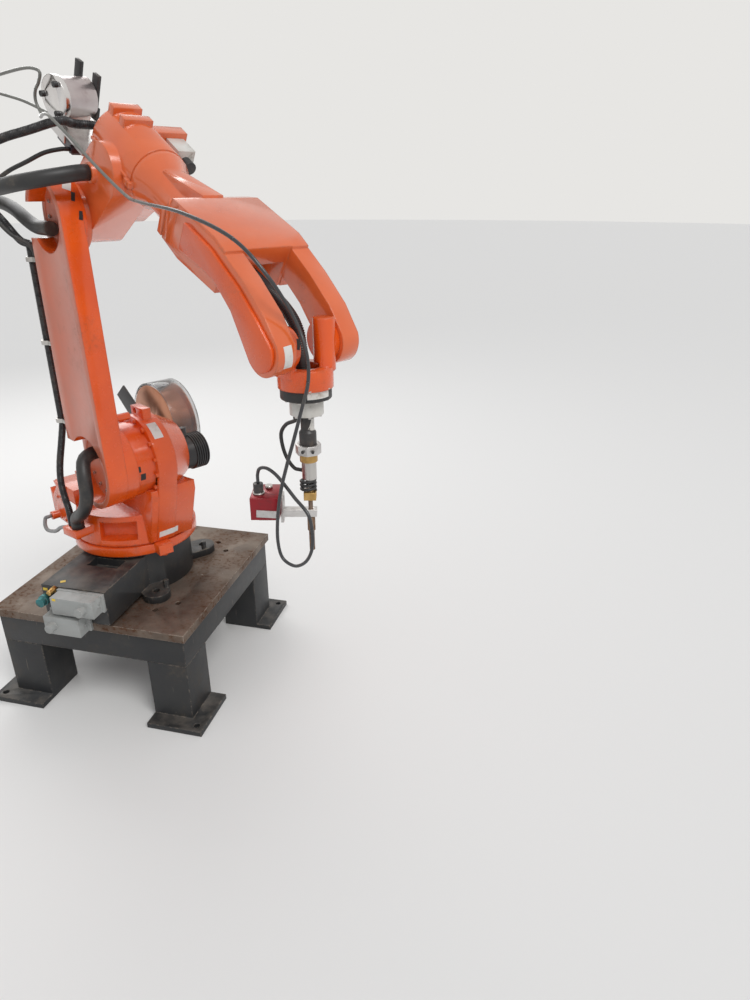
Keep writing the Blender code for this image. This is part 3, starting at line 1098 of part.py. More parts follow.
def build_wrist():
    """The wrist yoke between the prongs, with its drive housing and its ring."""
    ring = rod(WRIST_RING_RADIUS, (WRIST_RING_START, 0, 0), (WRIST_RING_END, 0, 0), 64)
    inner = FORK_INNER_HALF - PIN_GAP
    hubs, legs = [], []
    for side in (-1, 1):
        hubs.append(rod(WRIST_HUB_RADIUS, (0, side * (inner - WRIST_LEG_THICK), 0), (0, side * inner, 0),
                        40))
        legs.append(block_between((0, side * (inner - WRIST_LEG_THICK + SKIN), -WRIST_LEG_HALF),
                                  (WRIST_RING_START + WRIST_LEG_THICK, side * (inner - SKIN),
                                   WRIST_LEG_HALF)))
    drive = rod(WRIST_DRIVE_RADIUS, (WRIST_DRIVE_TOP, WRIST_DRIVE_FAR, WRIST_DRIVE_FORWARD),
                (WRIST_RING_START + OVERRUN, WRIST_DRIVE_FAR, WRIST_DRIVE_FORWARD), 32)
    bore = rod(WRIST_BORE_RADIUS, (WRIST_RING_START - OVERRUN, 0, 0), (WRIST_RING_END + OVERRUN, 0, 0), 40)
    piece("wrist_yoke", wrist, ORANGE, ring, join=[*hubs, *legs, drive], cut=[bore])


def build_tool():
    """The turning ring, the insulating flange and the torch."""
    start = WRIST_RING_END + SEAT_GAP
    bore = rod(WRIST_BORE_RADIUS * 0.6, (start - OVERRUN, 0, 0), (JOINT_RING_END - OVERRUN, 0, 0), 32)
    piece("tool_ring", tool, BLACK, rod(JOINT_RING_RADIUS, (start, 0, 0), (JOINT_RING_END, 0, 0), 64),
          cut=[bore])
    start = JOINT_RING_END + SEAT_GAP
    piece("insulating_flange", tool, WHITE, rod(INSULATOR_RADIUS, (start, 0, 0), (INSULATOR_END, 0, 0), 48))
    neck_end = CLAMP_END - 2 * SKIN
    neck = [(0, neck_end), (TORCH_BULGE_RADIUS, neck_end),
            (TORCH_BULGE_RADIUS, TORCH_BULGE_START + TORCH_BULGE_SLOPE),
            (TORCH_NECK_RADIUS, TORCH_BULGE_START), (TORCH_NECK_RADIUS, INSULATOR_END + SEAT_GAP),
            (0, INSULATOR_END + SEAT_GAP)]
    piece("torch_neck", tool, RUBBER, turned(neck, (0, 0, 0), (1, 0, 0), 32))
    clamp = rod(CLAMP_RADIUS, (CLAMP_START, 0, 0), (CLAMP_END, 0, 0), 8)
    hole = rod(TORCH_BULGE_RADIUS + SEAT_GAP, (CLAMP_START - OVERRUN, 0, 0), (CLAMP_END + OVERRUN, 0, 0),
               32)
    piece("torch_clamp", tool, BRIGHT, clamp, cut=[hole])
    ring_start = CLAMP_END + SEAT_GAP
    collar = rod(BRASS_RING_RADIUS, (ring_start, 0, 0), (BRASS_RING_END, 0, 0), 32)
    body = rod(TORCH_BODY_RADIUS, (BRASS_RING_END - SKIN, 0, 0), (TORCH_SLEEVE_END, 0, 0), 32)
    stem = rod(TORCH_STEM_RADIUS, (TORCH_SLEEVE_END - SKIN, 0, 0), (TORCH_BODY_END, 0, 0), 24)
    piece("torch_body", tool, BRIGHT, collar, join=[body, stem])
    half = BRASS_BLOCK_SIDE / 2
    piece("torch_brass_block", tool, BRASS, block((TORCH_BODY_END + SEAT_GAP, -half, -half),
                                                  (BRASS_BLOCK_END, half, half)))
    nozzle = [(0, TIP_END), (TIP_RADIUS, TIP_END), (TIP_RADIUS, NOZZLE_END), (NOZZLE_RADIUS, NOZZLE_END),
              (NOZZLE_RADIUS, NOZZLE_START), (TORCH_ROD_RADIUS, NOZZLE_START),
              (TORCH_ROD_RADIUS, BRASS_BLOCK_END + SEAT_GAP),
              (0, BRASS_BLOCK_END + SEAT_GAP)]
    piece("torch_nozzle", tool, BLACK, turned(nozzle, (0, 0, 0), (1, 0, 0), 24))


def build_sensor():
    """The seam sensor beside the torch, on its bracket."""
    half = BRASS_BLOCK_SIDE / 2
    face = -SENSOR_REACH + SENSOR_HALF_DEPTH
    plate = block((SENSOR_PLATE_START, face + SEAT_GAP, -SENSOR_PLATE_HALF),
                  (SENSOR_PLATE_END, face + SEAT_GAP + SENSOR_PLATE_THICK, SENSOR_PLATE_HALF))
    bridge = block((SENSOR_BRIDGE_START, face + SKIN, -SENSOR_BRIDGE_HALF),
                   (SENSOR_BRIDGE_END, TORCH_ROD_RADIUS + OVERRUN, SENSOR_BRIDGE_HALF))
    bore = rod(TORCH_ROD_RADIUS + SEAT_GAP, (SENSOR_BRIDGE_START - OVERRUN, 0, 0),
               (SENSOR_BRIDGE_END + OVERRUN, 0, 0), 20)
    piece("sensor_bracket", tool, BRIGHT, plate, join=[bridge], cut=[bore])
    box = block((SENSOR_START, -SENSOR_REACH - SENSOR_HALF_DEPTH, -SENSOR_HALF_WIDTH),
                (SENSOR_END, face, SENSOR_HALF_WIDTH))
    hood = block((SENSOR_END - SKIN, -SENSOR_REACH - SENSOR_HALF_DEPTH / 2, -SENSOR_HALF_WIDTH * 0.7),
                 (SENSOR_END + SENSOR_HOOD_LENGTH, face - SKIN, SENSOR_HALF_WIDTH * 0.7))
    plug_at = (-SENSOR_REACH - SENSOR_PLUG_OUT, SENSOR_PLUG_NEAR)
    plug = rod(SENSOR_PLUG_RADIUS, (SENSOR_START - SENSOR_PLUG_LENGTH, *plug_at),
               (SENSOR_START + SKIN, *plug_at), 20)
    piece("seam_sensor", tool, RED, box, join=[hood, plug])


def smooth_route(route, radius):
    """Evenly spaced points on a smooth curve through a route, with straight first and last lengths."""
    knots = [Vector(point) for point in route]
    fine = []
    for before, first, second, after in zip(knots, knots[1:], knots[2:], knots[3:]):
        for step in range(ROUTE_STEPS):
            t = step / ROUTE_STEPS
            bend = before * 2 - first * 5 + second * 4 - after
            lift = first * 3 - before - second * 3 + after
            fine.append((first * 2 + (second - before) * t + bend * t ** 2 + lift * t ** 3) / 2)
    fine.append(knots[-2])
    total = sum((end - start).length for start, end in zip(fine, fine[1:]))
    pieces = min(CABLE_POINTS - 3, max(2, round(total / (radius * CABLE_POINT_SPACING_SHARE))))
    points, walked = [fine[0]], 0.0
    for start, end in zip(fine, fine[1:]):
        walked += (end - start).length
        if walked >= len(points) * total / pieces and len(points) < pieces:
            points.append(end)
    return [knots[0], *points, fine[-1], knots[-1]]


def cable(name, body, material, route, radius):
    """One cable through its route's points."""
    return tube(name, body, material, smooth_route(route, radius), radius)


def in_arm(point):
    """A place given in the elbow's frame, in the upper arm's frame."""
    turned_point = Matrix.Rotation(FOREARM_DROP, 3, "Y") @ Vector(point)
    return turned_point + Vector((0, 0, UPPER_ARM_LENGTH))


def by_elbow(route):
    """A route given from the elbow's axis, in the upper arm's frame."""
    return [Vector(point) + Vector((0, 0, UPPER_ARM_LENGTH)) for point in route]


def build_cables():
    """The hoses and cables that the arm carries, each on its own route."""
    high_clip = conduit_point(CLIP_SHARES[-1])
    meeting = Vector(high_clip) + Vector((0, 0, CLIP_WIDTH))
    tie_z = tie_top() - SHOULDER_HEIGHT + SEAT_GAP
    half_clip = Vector((0, 0, CLIP_WIDTH))
    along = []
    for share in reversed(CLIP_SHARES):
        along += [Vector(conduit_point(share)) + half_clip, Vector(conduit_point(share)) - half_clip]
    tail = [(x, y, tie_z + rise) for x, y, rise in CONDUIT_TAIL]
    start = meeting - Vector((0, 0, SEAT_GAP))
    cable("arm_conduit", upper_arm, RUBBER, [start, *along[1:], *CONDUIT_ROUTE, *tail], CONDUIT_RADIUS)
    boss = [in_arm((-BACK_BOSS_LENGTH - back, near, ELBOW_OFFSET - drop)) for back, near, drop in BOSS_LEAD]
    cable("elbow_conduit", upper_arm, RUBBER, [*boss, *by_elbow(ELBOW_CONDUIT_ROUTE),
                                               meeting + Vector((0, 0, CLIP_WIDTH * 2)), meeting],
          CONDUIT_RADIUS)
    tail = [(x, y, tie_z + rise) for x, y, rise in SHOULDER_HOSE_TAIL]
    cable("shoulder_hose", upper_arm, RUBBER, [*SHOULDER_HOSE_ROUTE, *tail], SHOULDER_HOSE_RADIUS)
    gland_y = ARM_TOP_INNER + ELBOW_FLANGE_THICK - SKIN - HOSE_GLAND_LENGTH
    gland = [in_arm((HOSE_GLAND_FORWARD, gland_y - out, HOSE_GLAND_RISE)) for out in HOSE_GLAND_LEAD]
    cable("elbow_hose", upper_arm, RUBBER, [*gland, *by_elbow(ELBOW_HOSE_ROUTE)], ELBOW_HOSE_RADIUS)
    fitting_x, fitting_z = feeder_fitting_place()
    fitting = [in_arm((fitting_x, FEEDER_FITTING_NEAR - out, fitting_z)) for out in HOSE_GLAND_LEAD]
    seat = Vector((conduit_edge(CLIP_SHARES[-1]) - CONDUIT_BACK / 2, high_clip[1],
                   high_clip[2] + CLIP_WIDTH / 2 + SEAT_GAP))
    cable("feeder_hose", upper_arm, RUBBER, [*fitting, *by_elbow(FEEDER_HOSE_ROUTE),
                                             seat + Vector((0, 0, CLIP_WIDTH)), seat], FEEDER_HOSE_RADIUS)
    exit_y = (FEEDER_MOTOR_NEAR + FEEDER_MOTOR_FAR) / 2
    lead = [in_arm((FEEDER_MOTOR_BACK - out, exit_y, fitting_z)) for out in HOSE_GLAND_LEAD]
    plug = sensor_plug_top()
    cable("sensor_cable", upper_arm, RUBBER, [*lead, *SENSOR_CABLE_ROUTE,
                                              plug + Vector((0, 0, HOSE_GLAND_LEAD[1])), plug],
          SENSOR_CABLE_RADIUS)
    root = (FORK_CAVITY_START + SEAT_GAP, *FOREARM_HOSE_ROUTE[0][1:])
    cable("forearm_hose", forearm, RUBBER, [root, *FOREARM_HOSE_ROUTE], FOREARM_HOSE_RADIUS)
    root = (INSULATOR_END + SEAT_GAP, *TORCH_LEAD_ROOT)
    cable("torch_lead", tool, RUBBER, [root, *TORCH_LEAD_ROUTE], TORCH_LEAD_RADIUS)
    gland_x, gland_face, gland_z = cover_gland_place()
    shift = Vector((SHOULDER_REACH, 0, SHOULDER_HEIGHT))
    mouth = Vector((gland_x, gland_face - GLAND_LENGTH - SEAT_GAP, gland_z))
    loop = [mouth, mouth - Vector((0, GLAND_RADIUS, 0)),
            *(Vector(point) + shift for point in GLAND_CABLE_ROUTE)]
    cable("gland_cable", turret, GREY, loop, GLAND_CABLE_RADIUS)


def sensor_plug_top():
    """Where the sensor's cable enters its plug, in the upper arm's frame."""
    place_at = Matrix.Rotation(SENSOR_TURN, 3, "X") @ Vector((0, -SENSOR_REACH - SENSOR_PLUG_OUT,
                                                              SENSOR_PLUG_NEAR))
    at_x = FOREARM_LENGTH * math.cos(FOREARM_DROP) + ELBOW_OFFSET * math.sin(FOREARM_DROP) + place_at[2]
    wrist_z = UPPER_ARM_LENGTH + ELBOW_OFFSET * math.cos(FOREARM_DROP)
    wrist_z -= FOREARM_LENGTH * math.sin(FOREARM_DROP)
    return Vector((at_x, place_at[1], wrist_z - SENSOR_START + SENSOR_PLUG_LENGTH + SEAT_GAP))


def centre_footprint():
    """Moves the stand so that the origin is at the middle of the whole footprint, on the floor."""
    bpy.context.view_layer.update()
    corners = [thing.matrix_world @ vertex.co for thing in SOLIDS for vertex in thing.data.vertices]
    for axis in (0, 1):
        places = [corner[axis] for corner in corners]
        floor.location[axis] = -(min(places) + max(places)) / 2


build_stand()
build_base()
build_turret()
build_upper_arm()
build_elbow()
build_feeder()
build_forearm()
build_wrist()
build_tool()
build_sensor()
build_cables()
centre_footprint()
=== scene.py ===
"""Looks for the arc welding robot: camera, finishes, cables and small fittings over its solids."""
from __future__ import annotations

import json
import logging
import math
from dataclasses import dataclass
from enum import Enum
from typing import Any, Sequence, Union

import bmesh
import bpy
from mathutils import Matrix, Vector
from mathutils.bvhtree import BVHTree

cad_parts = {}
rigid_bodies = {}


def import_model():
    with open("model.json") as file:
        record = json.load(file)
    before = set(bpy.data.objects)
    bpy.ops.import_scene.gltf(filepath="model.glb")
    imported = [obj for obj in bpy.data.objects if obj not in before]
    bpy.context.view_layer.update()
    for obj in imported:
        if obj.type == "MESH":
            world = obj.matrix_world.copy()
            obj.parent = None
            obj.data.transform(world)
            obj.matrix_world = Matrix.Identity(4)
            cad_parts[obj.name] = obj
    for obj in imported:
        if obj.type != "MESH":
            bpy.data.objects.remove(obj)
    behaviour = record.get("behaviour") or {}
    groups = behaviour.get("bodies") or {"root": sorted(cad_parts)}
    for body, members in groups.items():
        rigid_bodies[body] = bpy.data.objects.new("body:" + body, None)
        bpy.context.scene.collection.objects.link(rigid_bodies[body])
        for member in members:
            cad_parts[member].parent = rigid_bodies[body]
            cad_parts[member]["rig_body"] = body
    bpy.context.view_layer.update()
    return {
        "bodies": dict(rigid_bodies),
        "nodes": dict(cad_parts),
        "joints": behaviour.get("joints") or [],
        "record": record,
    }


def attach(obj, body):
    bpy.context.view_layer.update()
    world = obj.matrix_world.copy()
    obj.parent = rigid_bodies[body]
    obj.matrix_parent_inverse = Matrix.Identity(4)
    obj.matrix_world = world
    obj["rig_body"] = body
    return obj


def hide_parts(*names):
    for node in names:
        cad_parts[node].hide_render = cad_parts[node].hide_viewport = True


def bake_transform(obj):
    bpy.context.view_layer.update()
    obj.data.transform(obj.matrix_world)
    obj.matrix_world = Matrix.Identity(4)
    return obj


LOG = logging.getLogger("welding_robot")
Colour = tuple[float, float, float]
Point = tuple[float, float, float]
ARM_LENGTH = 0.78


class Body(Enum):
    """The moving bodies of the robot."""

    STAND = "stand"
    TURRET = "turret"
    UPPER_ARM = "upper_arm"
    ELBOW = "elbow"
    FOREARM = "forearm"
    WRIST = "wrist"
    TOOL = "tool"


class Grain(Enum):
    """What breaks up a finish's surface."""

    CAST = "cast"
    MACHINED = "machined"
    ROLLED = "rolled"
    MOULDED = "moulded"
    RIBBED = "ribbed"
    WOUND = "wound"


@dataclass(frozen=True)
class Link:
    """A link's frame in the row frame."""

    body: Body
    origin: Point
    x: Point
    y: Point

    def matrix(self) -> Matrix:
        """The frame's matrix."""
        x, y = Vector(self.x), Vector(self.y)
        z = x.cross(y)
        turn = Matrix((x, y, z)).transposed().to_4x4()
        return Matrix.Translation(Vector(self.origin)) @ turn

    def at(self, point: Sequence[float]) -> Vector:
        """A point of the link in the row frame."""
        return self.matrix() @ Vector(point)

    def along(self, direction: Sequence[float]) -> Vector:
        """A direction of the link in the row frame."""
        return self.matrix().to_3x3() @ Vector(direction)

    def inside(self, point: Vector) -> Vector:
        """A point of the row frame, as the link sees it."""
        return self.matrix().inverted() @ point


REACH = (0.854459, -0.519519, 0.0)
ACROSS = (0.519519, 0.854459, 0.0)
UPPER_ARM = Link(Body.UPPER_ARM, (-0.160763, 0.042287, 0.905), REACH, ACROSS)
ELBOW = Link(Body.ELBOW, (-0.160763, 0.042287, 1.685), (0.728546, -0.442963, -0.522499), ACROSS)
FOREARM = Link(Body.FOREARM, (-0.051382, -0.024218, 1.893897), (0.728546, -0.442963, -0.522499), ACROSS)
WRIST = Link(Body.WRIST, (0.604310, -0.422884, 1.423648), (0.0, 0.0, -1.0), ACROSS)
FEEDER = Link(
    Body.ELBOW, tuple(ELBOW.at((-0.170, -0.100, 0.257))),
    tuple(ELBOW.along((0.984808, 0.173648, 0.0))), tuple(ELBOW.along((-0.173648, 0.984808, 0.0))))
TOOL = Link(Body.TOOL, (0.604310, -0.422884, 1.423648), (0.0, 0.0, -1.0), (0.971549, 0.236838, 0.0))


class Value:
    """A shader socket that can be used in arithmetic."""

    def __init__(self, tree: bpy.types.NodeTree, socket: Any) -> None:
        """Wraps a socket of a tree."""
        self.tree = tree
        self.socket = socket

    def _maths(self, operation: str, first: Any, second: Any, clamp: bool = False) -> "Value":
        """Adds one Math node.

        Args:
            operation: the node's operation.
            first: its first value or number.
            second: its second value or number.
            clamp: keep the result between 0 and 1.

        Returns:
            The node's result.
        """
        node = self.tree.nodes.new("ShaderNodeMath")
        node.operation = operation
        node.use_clamp = clamp
        for place, item in enumerate((first, second)):
            join(self.tree, item, node.inputs[place])
        return Value(self.tree, node.outputs[0])

    def __add__(self, other: Any) -> "Value":
        """Sum."""
        return self._maths("ADD", self, other)

    def __radd__(self, other: Any) -> "Value":
        """Sum, reflected."""
        return self._maths("ADD", other, self)

    def __sub__(self, other: Any) -> "Value":
        """Difference."""
        return self._maths("SUBTRACT", self, other)

    def __rsub__(self, other: Any) -> "Value":
        """Difference, reflected."""
        return self._maths("SUBTRACT", other, self)

    def __mul__(self, other: Any) -> "Value":
        """Product."""
        return self._maths("MULTIPLY", self, other)

    def held(self) -> "Value":
        """The value kept between 0 and 1."""
        return self._maths("ADD", self, 0.0, clamp=True)

    def above(self, level: float, softness: float) -> "Value":
        """A mask that rises from 0 to 1 over softness past a level.

        Args:
            level: where the mask starts to rise.
            softness: how far it takes to reach 1.

        Returns:
            The mask.
        """
        return ((self - level) * (1.0 / softness)).held()


Setting = Union[Value, float, Sequence[float]]


def join(tree: bpy.types.NodeTree, item: Setting, socket: Any) -> None:
    """Links a value to a socket, or sets the socket to a number or a colour.

    Args:
        tree: the tree that holds the socket.
        item: the value, number or colour.
        socket: where it goes.
    """
    if isinstance(item, Value):
        tree.links.new(item.socket, socket)
    else:
        socket.default_value = item


class Shader:
    """A material and its node tree."""

    def __init__(self, name: str) -> None:
        """Starts an empty material with one Principled shader."""
        self.material = bpy.data.materials.new(name)
        self.material.use_nodes = True
        self.tree = self.material.node_tree
        self.tree.nodes.clear()
        self.output = self.tree.nodes.new("ShaderNodeOutputMaterial")
        self.surface = self.tree.nodes.new("ShaderNodeBsdfPrincipled")
        self.tree.links.new(self.surface.outputs[0], self.output.inputs["Surface"])

    def feed(self, node: bpy.types.Node, **values: Setting) -> None:
        """Sets or links sockets of a node.

        Args:
            node: the node.
            values: socket values or links, with _ for a space in the name.
        """
        for key, item in values.items():
            join(self.tree, item, node.inputs[key.replace("_", " ")])

    def node(self, kind: str, out: Union[int, str] = 0, settings: dict[str, Any] | None = None,
             **values: Setting) -> Value:
        """Adds a node.

        Args:
            kind: the node's type.
            out: which output to hand back.
            settings: attributes set before the sockets.
            values: socket values or links, with _ for a space in the name.

        Returns:
            The chosen output.
        """
        node = self.tree.nodes.new(kind)
        for key, item in (settings or {}).items():
            setattr(node, key, item)
        self.feed(node, **values)
        return Value(self.tree, node.outputs[out])

    def blend(self, share: Value, first: Union[Value, Colour], second: Union[Value, Colour]) -> Value:
        """Mixes two colours.

        Args:
            share: how much of the second colour.
            first: the colour at 0.
            second: the colour at 1.

        Returns:
            The mixed colour.
        """
        node = self.tree.nodes.new("ShaderNodeMix")
        node.data_type = "RGBA"
        join(self.tree, share, node.inputs[0])
        for place, item in ((6, first), (7, second)):
            join(self.tree, item if isinstance(item, Value) else (*item, 1.0), node.inputs[place])
        return Value(self.tree, node.outputs[2])

    def noise(self, place: Value, scale: float, detail: float = 3.0, rough: float = 0.55) -> Value:
        """Noise at a scale in waves per metre.

        Args:
            place: the coordinates.
            scale: waves per metre.
            detail: octaves.
            rough: how strong the finer octaves are.

        Returns:
            The noise's factor.
        """
        return self.node("ShaderNodeTexNoise", "Fac", Vector=place, Scale=scale, Detail=detail,
                         Roughness=rough)

    def bands(self, place: Value, scale: float) -> Value:
        """Even waves along the X of some coordinates."""
        return self.node("ShaderNodeTexWave", "Fac", {"bands_direction": "X"}, Vector=place, Scale=scale)

    def walked(self) -> Value:
        """The distance along a swept piece, as coordinates."""
        return self.node("ShaderNodeUVMap", 0, {"uv_map": "along"})


# Noises: waves per metre, octaves and how strong the finer octaves are.
MOTTLE = (9.0, 4.0)
GRIME = (7.0, 8.0, 0.65)
SPECKS = (70.0, 3.0)
SHEEN = (38.0, 4.0)
FILM = (16.0, 6.0)
CHIPS = (55.0, 6.0, 0.7)
SCUFFS = (13.0, 10.0, 0.75)
STROKES = (1.0, 2.0)
CAST_GRIT = (120.0, 5.0, 0.6)
CAST_WAVES = (22.0, 3.0)
MILL_PITS = (210.0, 4.0, 0.7)
MILL_WAVES = (30.0, 6.0, 0.7)
HOSE_GRIT = (260.0, 2.0)
SKIN = (300.0, 3.0)
SCRATCH_SCALE = (160.0, 160.0, 9.0)
SCRATCH_TURN = (0.5, 0.3, 0.9)
BRUSH_SCALE = (9.0, 9.0, 900.0)
WORN_ROUGH = 0.42
COAT_ROUGH = 0.12
CLEAR_IOR = 1.35
DUST_COLOUR: Colour = (0.34, 0.29, 0.24)
RIBS_SCALE = 62.0
WIRE_SCALE = 260.0
WIRE_TURN = -1.0244
RELIEF = {Grain.CAST: 0.0016, Grain.ROLLED: 0.0012, Grain.MACHINED: 0.0003, Grain.RIBBED: 0.0012,
          Grain.WOUND: 0.0006, Grain.MOULDED: 0.0003}


@dataclass(frozen=True)
class Finish:
    """One of the robot's surface finishes."""

    name: str
    colour: Colour
    shade: Colour
    rough: float
    rough_spread: float = 0.12
    metallic: float = 0.0
    coat: float = 0.0
    grain: Grain = Grain.MOULDED
    bump: float = 0.15
    wear: Colour | None = None
    wear_share: float = 0.0
    wear_metallic: float = 0.0
    dirt: Colour = (0.06, 0.045, 0.03)
    dirt_share: float = 0.25
    dust: float = 0.0
    edge: float = 0.0025
    clear: float = 0.0
    ahead: Colour | None = None
    ahead_from: float = 0.0

    def make(self) -> bpy.types.Material:
        """Builds the material."""
        shader = Shader(self.name)
        place = shader.node("ShaderNodeTexCoord", "Object")
        colour = shader.blend(shader.noise(place, *MOTTLE).above(0.35, 0.3), self.colour, self.shade)
        if self.ahead is not None:
            track = shader.node("ShaderNodeSeparateXYZ", "X", Vector=shader.walked())
            colour = shader.blend(track.above(self.ahead_from, 0.25), colour, self.ahead)
        grime = shader.noise(place, *GRIME).above(0.62 - self.dirt_share * 0.3, 0.12)
        specks = shader.noise(place, *SPECKS).above(0.50, 0.14)
        grime = grime * (0.35 + specks * 0.65) * min(1.0, self.dirt_share * 2.2)
        colour = shader.blend(grime, colour, self.dirt)
        rough = self.rough + (shader.noise(place, *SHEEN) - 0.5) * self.rough_spread + grime * 0.25
        metal: Setting = self.metallic
        if self.wear is not None:
            worn = self._worn(shader, place)
            colour = shader.blend(worn, colour, self.wear)
            metal = worn * self.wear_metallic + (1 - worn) * self.metallic
            rough = rough * (1 - worn) + worn * WORN_ROUGH
        if self.dust > 0.0:
            facing = shader.node("ShaderNodeNewGeometry", "Normal")
            up = shader.node("ShaderNodeSeparateXYZ", "Z", Vector=facing)
            film = up.above(0.55, 0.4) * shader.noise(place, *FILM).above(0.38, 0.3) * self.dust
            colour = shader.blend(film, colour, DUST_COLOUR)
            rough = rough + film * 0.3
        bevel = shader.node("ShaderNodeBevel", 0, {"samples": 4}, Radius=self.edge)
        normal = shader.node("ShaderNodeBump", Height=self._height(shader, place), Strength=self.bump,
                             Distance=RELIEF[self.grain], Normal=bevel)
        shader.feed(shader.surface, Base_Color=colour, Roughness=rough.held(), Metallic=metal, Normal=normal,
                    Coat_Weight=self.coat, Coat_Roughness=COAT_ROUGH)
        if self.clear > 0.0:
            shader.feed(shader.surface, Transmission_Weight=self.clear, IOR=CLEAR_IOR)
        return shader.material

    def _worn(self, shader: Shader, place: Value) -> Value:
        """A mask of chipped edges, scuffs and scratches.

        Args:
            shader: the material being built.
            place: its coordinates.

        Returns:
            The mask.
        """
        true = shader.node("ShaderNodeNewGeometry", "Normal")
        soft = shader.node("ShaderNodeBevel", 0, {"samples": 4}, Radius=self.edge * 1.6)
        flat = shader.tree.nodes.new("ShaderNodeVectorMath")
        flat.operation = "DOT_PRODUCT"
        join(shader.tree, true, flat.inputs[0])
        join(shader.tree, soft, flat.inputs[1])
        corner = (1 - Value(shader.tree, flat.outputs["Value"])).above(0.015, 0.06)
        edges = corner * shader.noise(place, *CHIPS).above(0.56 - self.wear_share * 0.22, 0.08)
        scuffs = shader.noise(place, *SCUFFS).above(0.72 - self.wear_share * 0.16, 0.04)
        drawn = shader.node("ShaderNodeMapping", Vector=place, Scale=SCRATCH_SCALE,
                            Rotation=SCRATCH_TURN)
        scratches = shader.noise(drawn, *STROKES).above(0.735 - self.wear_share * 0.05, 0.02)
        return (edges + scuffs * 0.8 + scratches * 0.45).held() * min(1.0, 0.4 + self.wear_share)

    def _height(self, shader: Shader, place: Value) -> Value:
        """The surface's relief, as a share of its depth.

        Args:
            shader: the material being built.
            place: its coordinates.

        Returns:
            The height.
        """
        if self.grain is Grain.CAST:
            return shader.noise(place, *CAST_GRIT) + shader.noise(place, *CAST_WAVES) * 0.8
        if self.grain is Grain.ROLLED:
            pits = shader.noise(place, *MILL_PITS).above(0.60, 0.15)
            return shader.noise(place, *MILL_WAVES) - pits * 0.6
        if self.grain is Grain.MACHINED:
            lines = shader.node("ShaderNodeMapping", Vector=place, Scale=BRUSH_SCALE)
            return shader.noise(lines, *STROKES)
        if self.grain is Grain.RIBBED:
            return shader.bands(shader.walked(), RIBS_SCALE) + shader.noise(place, *HOSE_GRIT) * 0.15
        if self.grain is Grain.WOUND:
            turned = shader.node("ShaderNodeMapping", Vector=place, Rotation=(0.0, 0.0, WIRE_TURN))
            return shader.bands(turned, WIRE_SCALE)
        return shader.noise(place, *SKIN)


ORANGE = Finish("orange_enamel", (0.8, 0.102, 0.006), (0.72, 0.084, 0.006), 0.26, coat=0.45, bump=0.08,
    wear=(0.3, 0.12, 0.06), wear_share=0.15, wear_metallic=0.2, dirt=(0.34, 0.06, 0.015), dirt_share=0.22,
    dust=0.12, edge=0.005, grain=Grain.CAST)
# A paler copy of the orange enamel for the elbow and forearm castings: painted sky sheen on them.
SKY_SHEEN_ORANGE = Finish("sunlit_orange_enamel", (0.76, 0.145, 0.038), (0.7, 0.125, 0.03), 0.22, coat=0.6,
    bump=0.07, wear=(0.36, 0.15, 0.08), wear_share=0.12, wear_metallic=0.2, dirt=(0.38, 0.075, 0.022),
    dirt_share=0.18, dust=0.1, edge=0.005, grain=Grain.CAST)
# The upper arm's outer face: a pinker, paler orange that is painted sky sheen on that face, over the usual
# wear and dirt.
SHEEN_PAINTED_ARM_ORANGE = Finish("arm_enamel_painted_sheen", (0.64, 0.135, 0.058), (0.57, 0.14, 0.07), 0.34, coat=0.3, bump=0.1,
    wear=(0.4, 0.19, 0.12), wear_share=0.2, wear_metallic=0.1, dirt=(0.3, 0.085, 0.04), dirt_share=0.25,
    dust=0.15, edge=0.005, grain=Grain.CAST)
BLACK = Finish("satin_black_enamel", (0.014, 0.015, 0.017), (0.022, 0.022, 0.022), 0.46,
    wear=(0.28, 0.23, 0.18), wear_share=0.3, wear_metallic=0.5, dirt=(0.07, 0.055, 0.04), dirt_share=0.25,
    dust=0.25, edge=0.004, grain=Grain.CAST)
MILL_STEEL = Finish("worn_mill_steel", (0.19, 0.148, 0.116), (0.115, 0.086, 0.068), 0.52, metallic=0.6,
    grain=Grain.ROLLED, bump=0.35, wear=(0.42, 0.36, 0.31), wear_share=0.5, wear_metallic=0.9,
    dirt=(0.1, 0.042, 0.018), dirt_share=0.7, dust=0.25, edge=0.003)
STEEL = Finish("machined_steel", (0.62, 0.6, 0.57), (0.5, 0.48, 0.46), 0.3, metallic=1.0,
    grain=Grain.MACHINED, bump=0.2, dirt=(0.12, 0.1, 0.08), dirt_share=0.3, edge=0.001)
ALUMINIUM = Finish("milled_aluminium", (0.74, 0.72, 0.7), (0.6, 0.58, 0.57), 0.34, metallic=0.9,
    grain=Grain.MACHINED, bump=0.2, dirt=(0.14, 0.12, 0.1), dirt_share=0.3, edge=0.0015)
CHROME = Finish("polished_disc", (0.8, 0.79, 0.78), (0.66, 0.63, 0.62), 0.2, metallic=1.0,
    grain=Grain.MACHINED, bump=0.1, dirt=(0.25, 0.17, 0.15), dirt_share=0.25, edge=0.0015)
BRASS = Finish("turned_brass", (0.62, 0.4, 0.15), (0.46, 0.27, 0.09), 0.32, metallic=1.0,
    grain=Grain.MACHINED, bump=0.2, dirt=(0.12, 0.07, 0.03), dirt_share=0.4, edge=0.001)
GREY = Finish("grey_hood_enamel", (0.35, 0.36, 0.35), (0.3, 0.31, 0.3), 0.44, wear=(0.55, 0.54, 0.52),
    wear_share=0.25, wear_metallic=0.8, dirt=(0.12, 0.1, 0.08), dirt_share=0.25, dust=0.2, edge=0.002,
    grain=Grain.CAST)
RUBBER = Finish("black_hose_rubber", (0.018, 0.018, 0.019), (0.032, 0.031, 0.03), 0.46,
    dirt=(0.1, 0.085, 0.07), dirt_share=0.35, edge=0.001)
CONDUIT = Finish("ribbed_conduit", (0.016, 0.016, 0.018), (0.028, 0.028, 0.03), 0.34, grain=Grain.RIBBED,
    bump=0.9, dirt=(0.09, 0.07, 0.055), dirt_share=0.3, edge=0.0005)
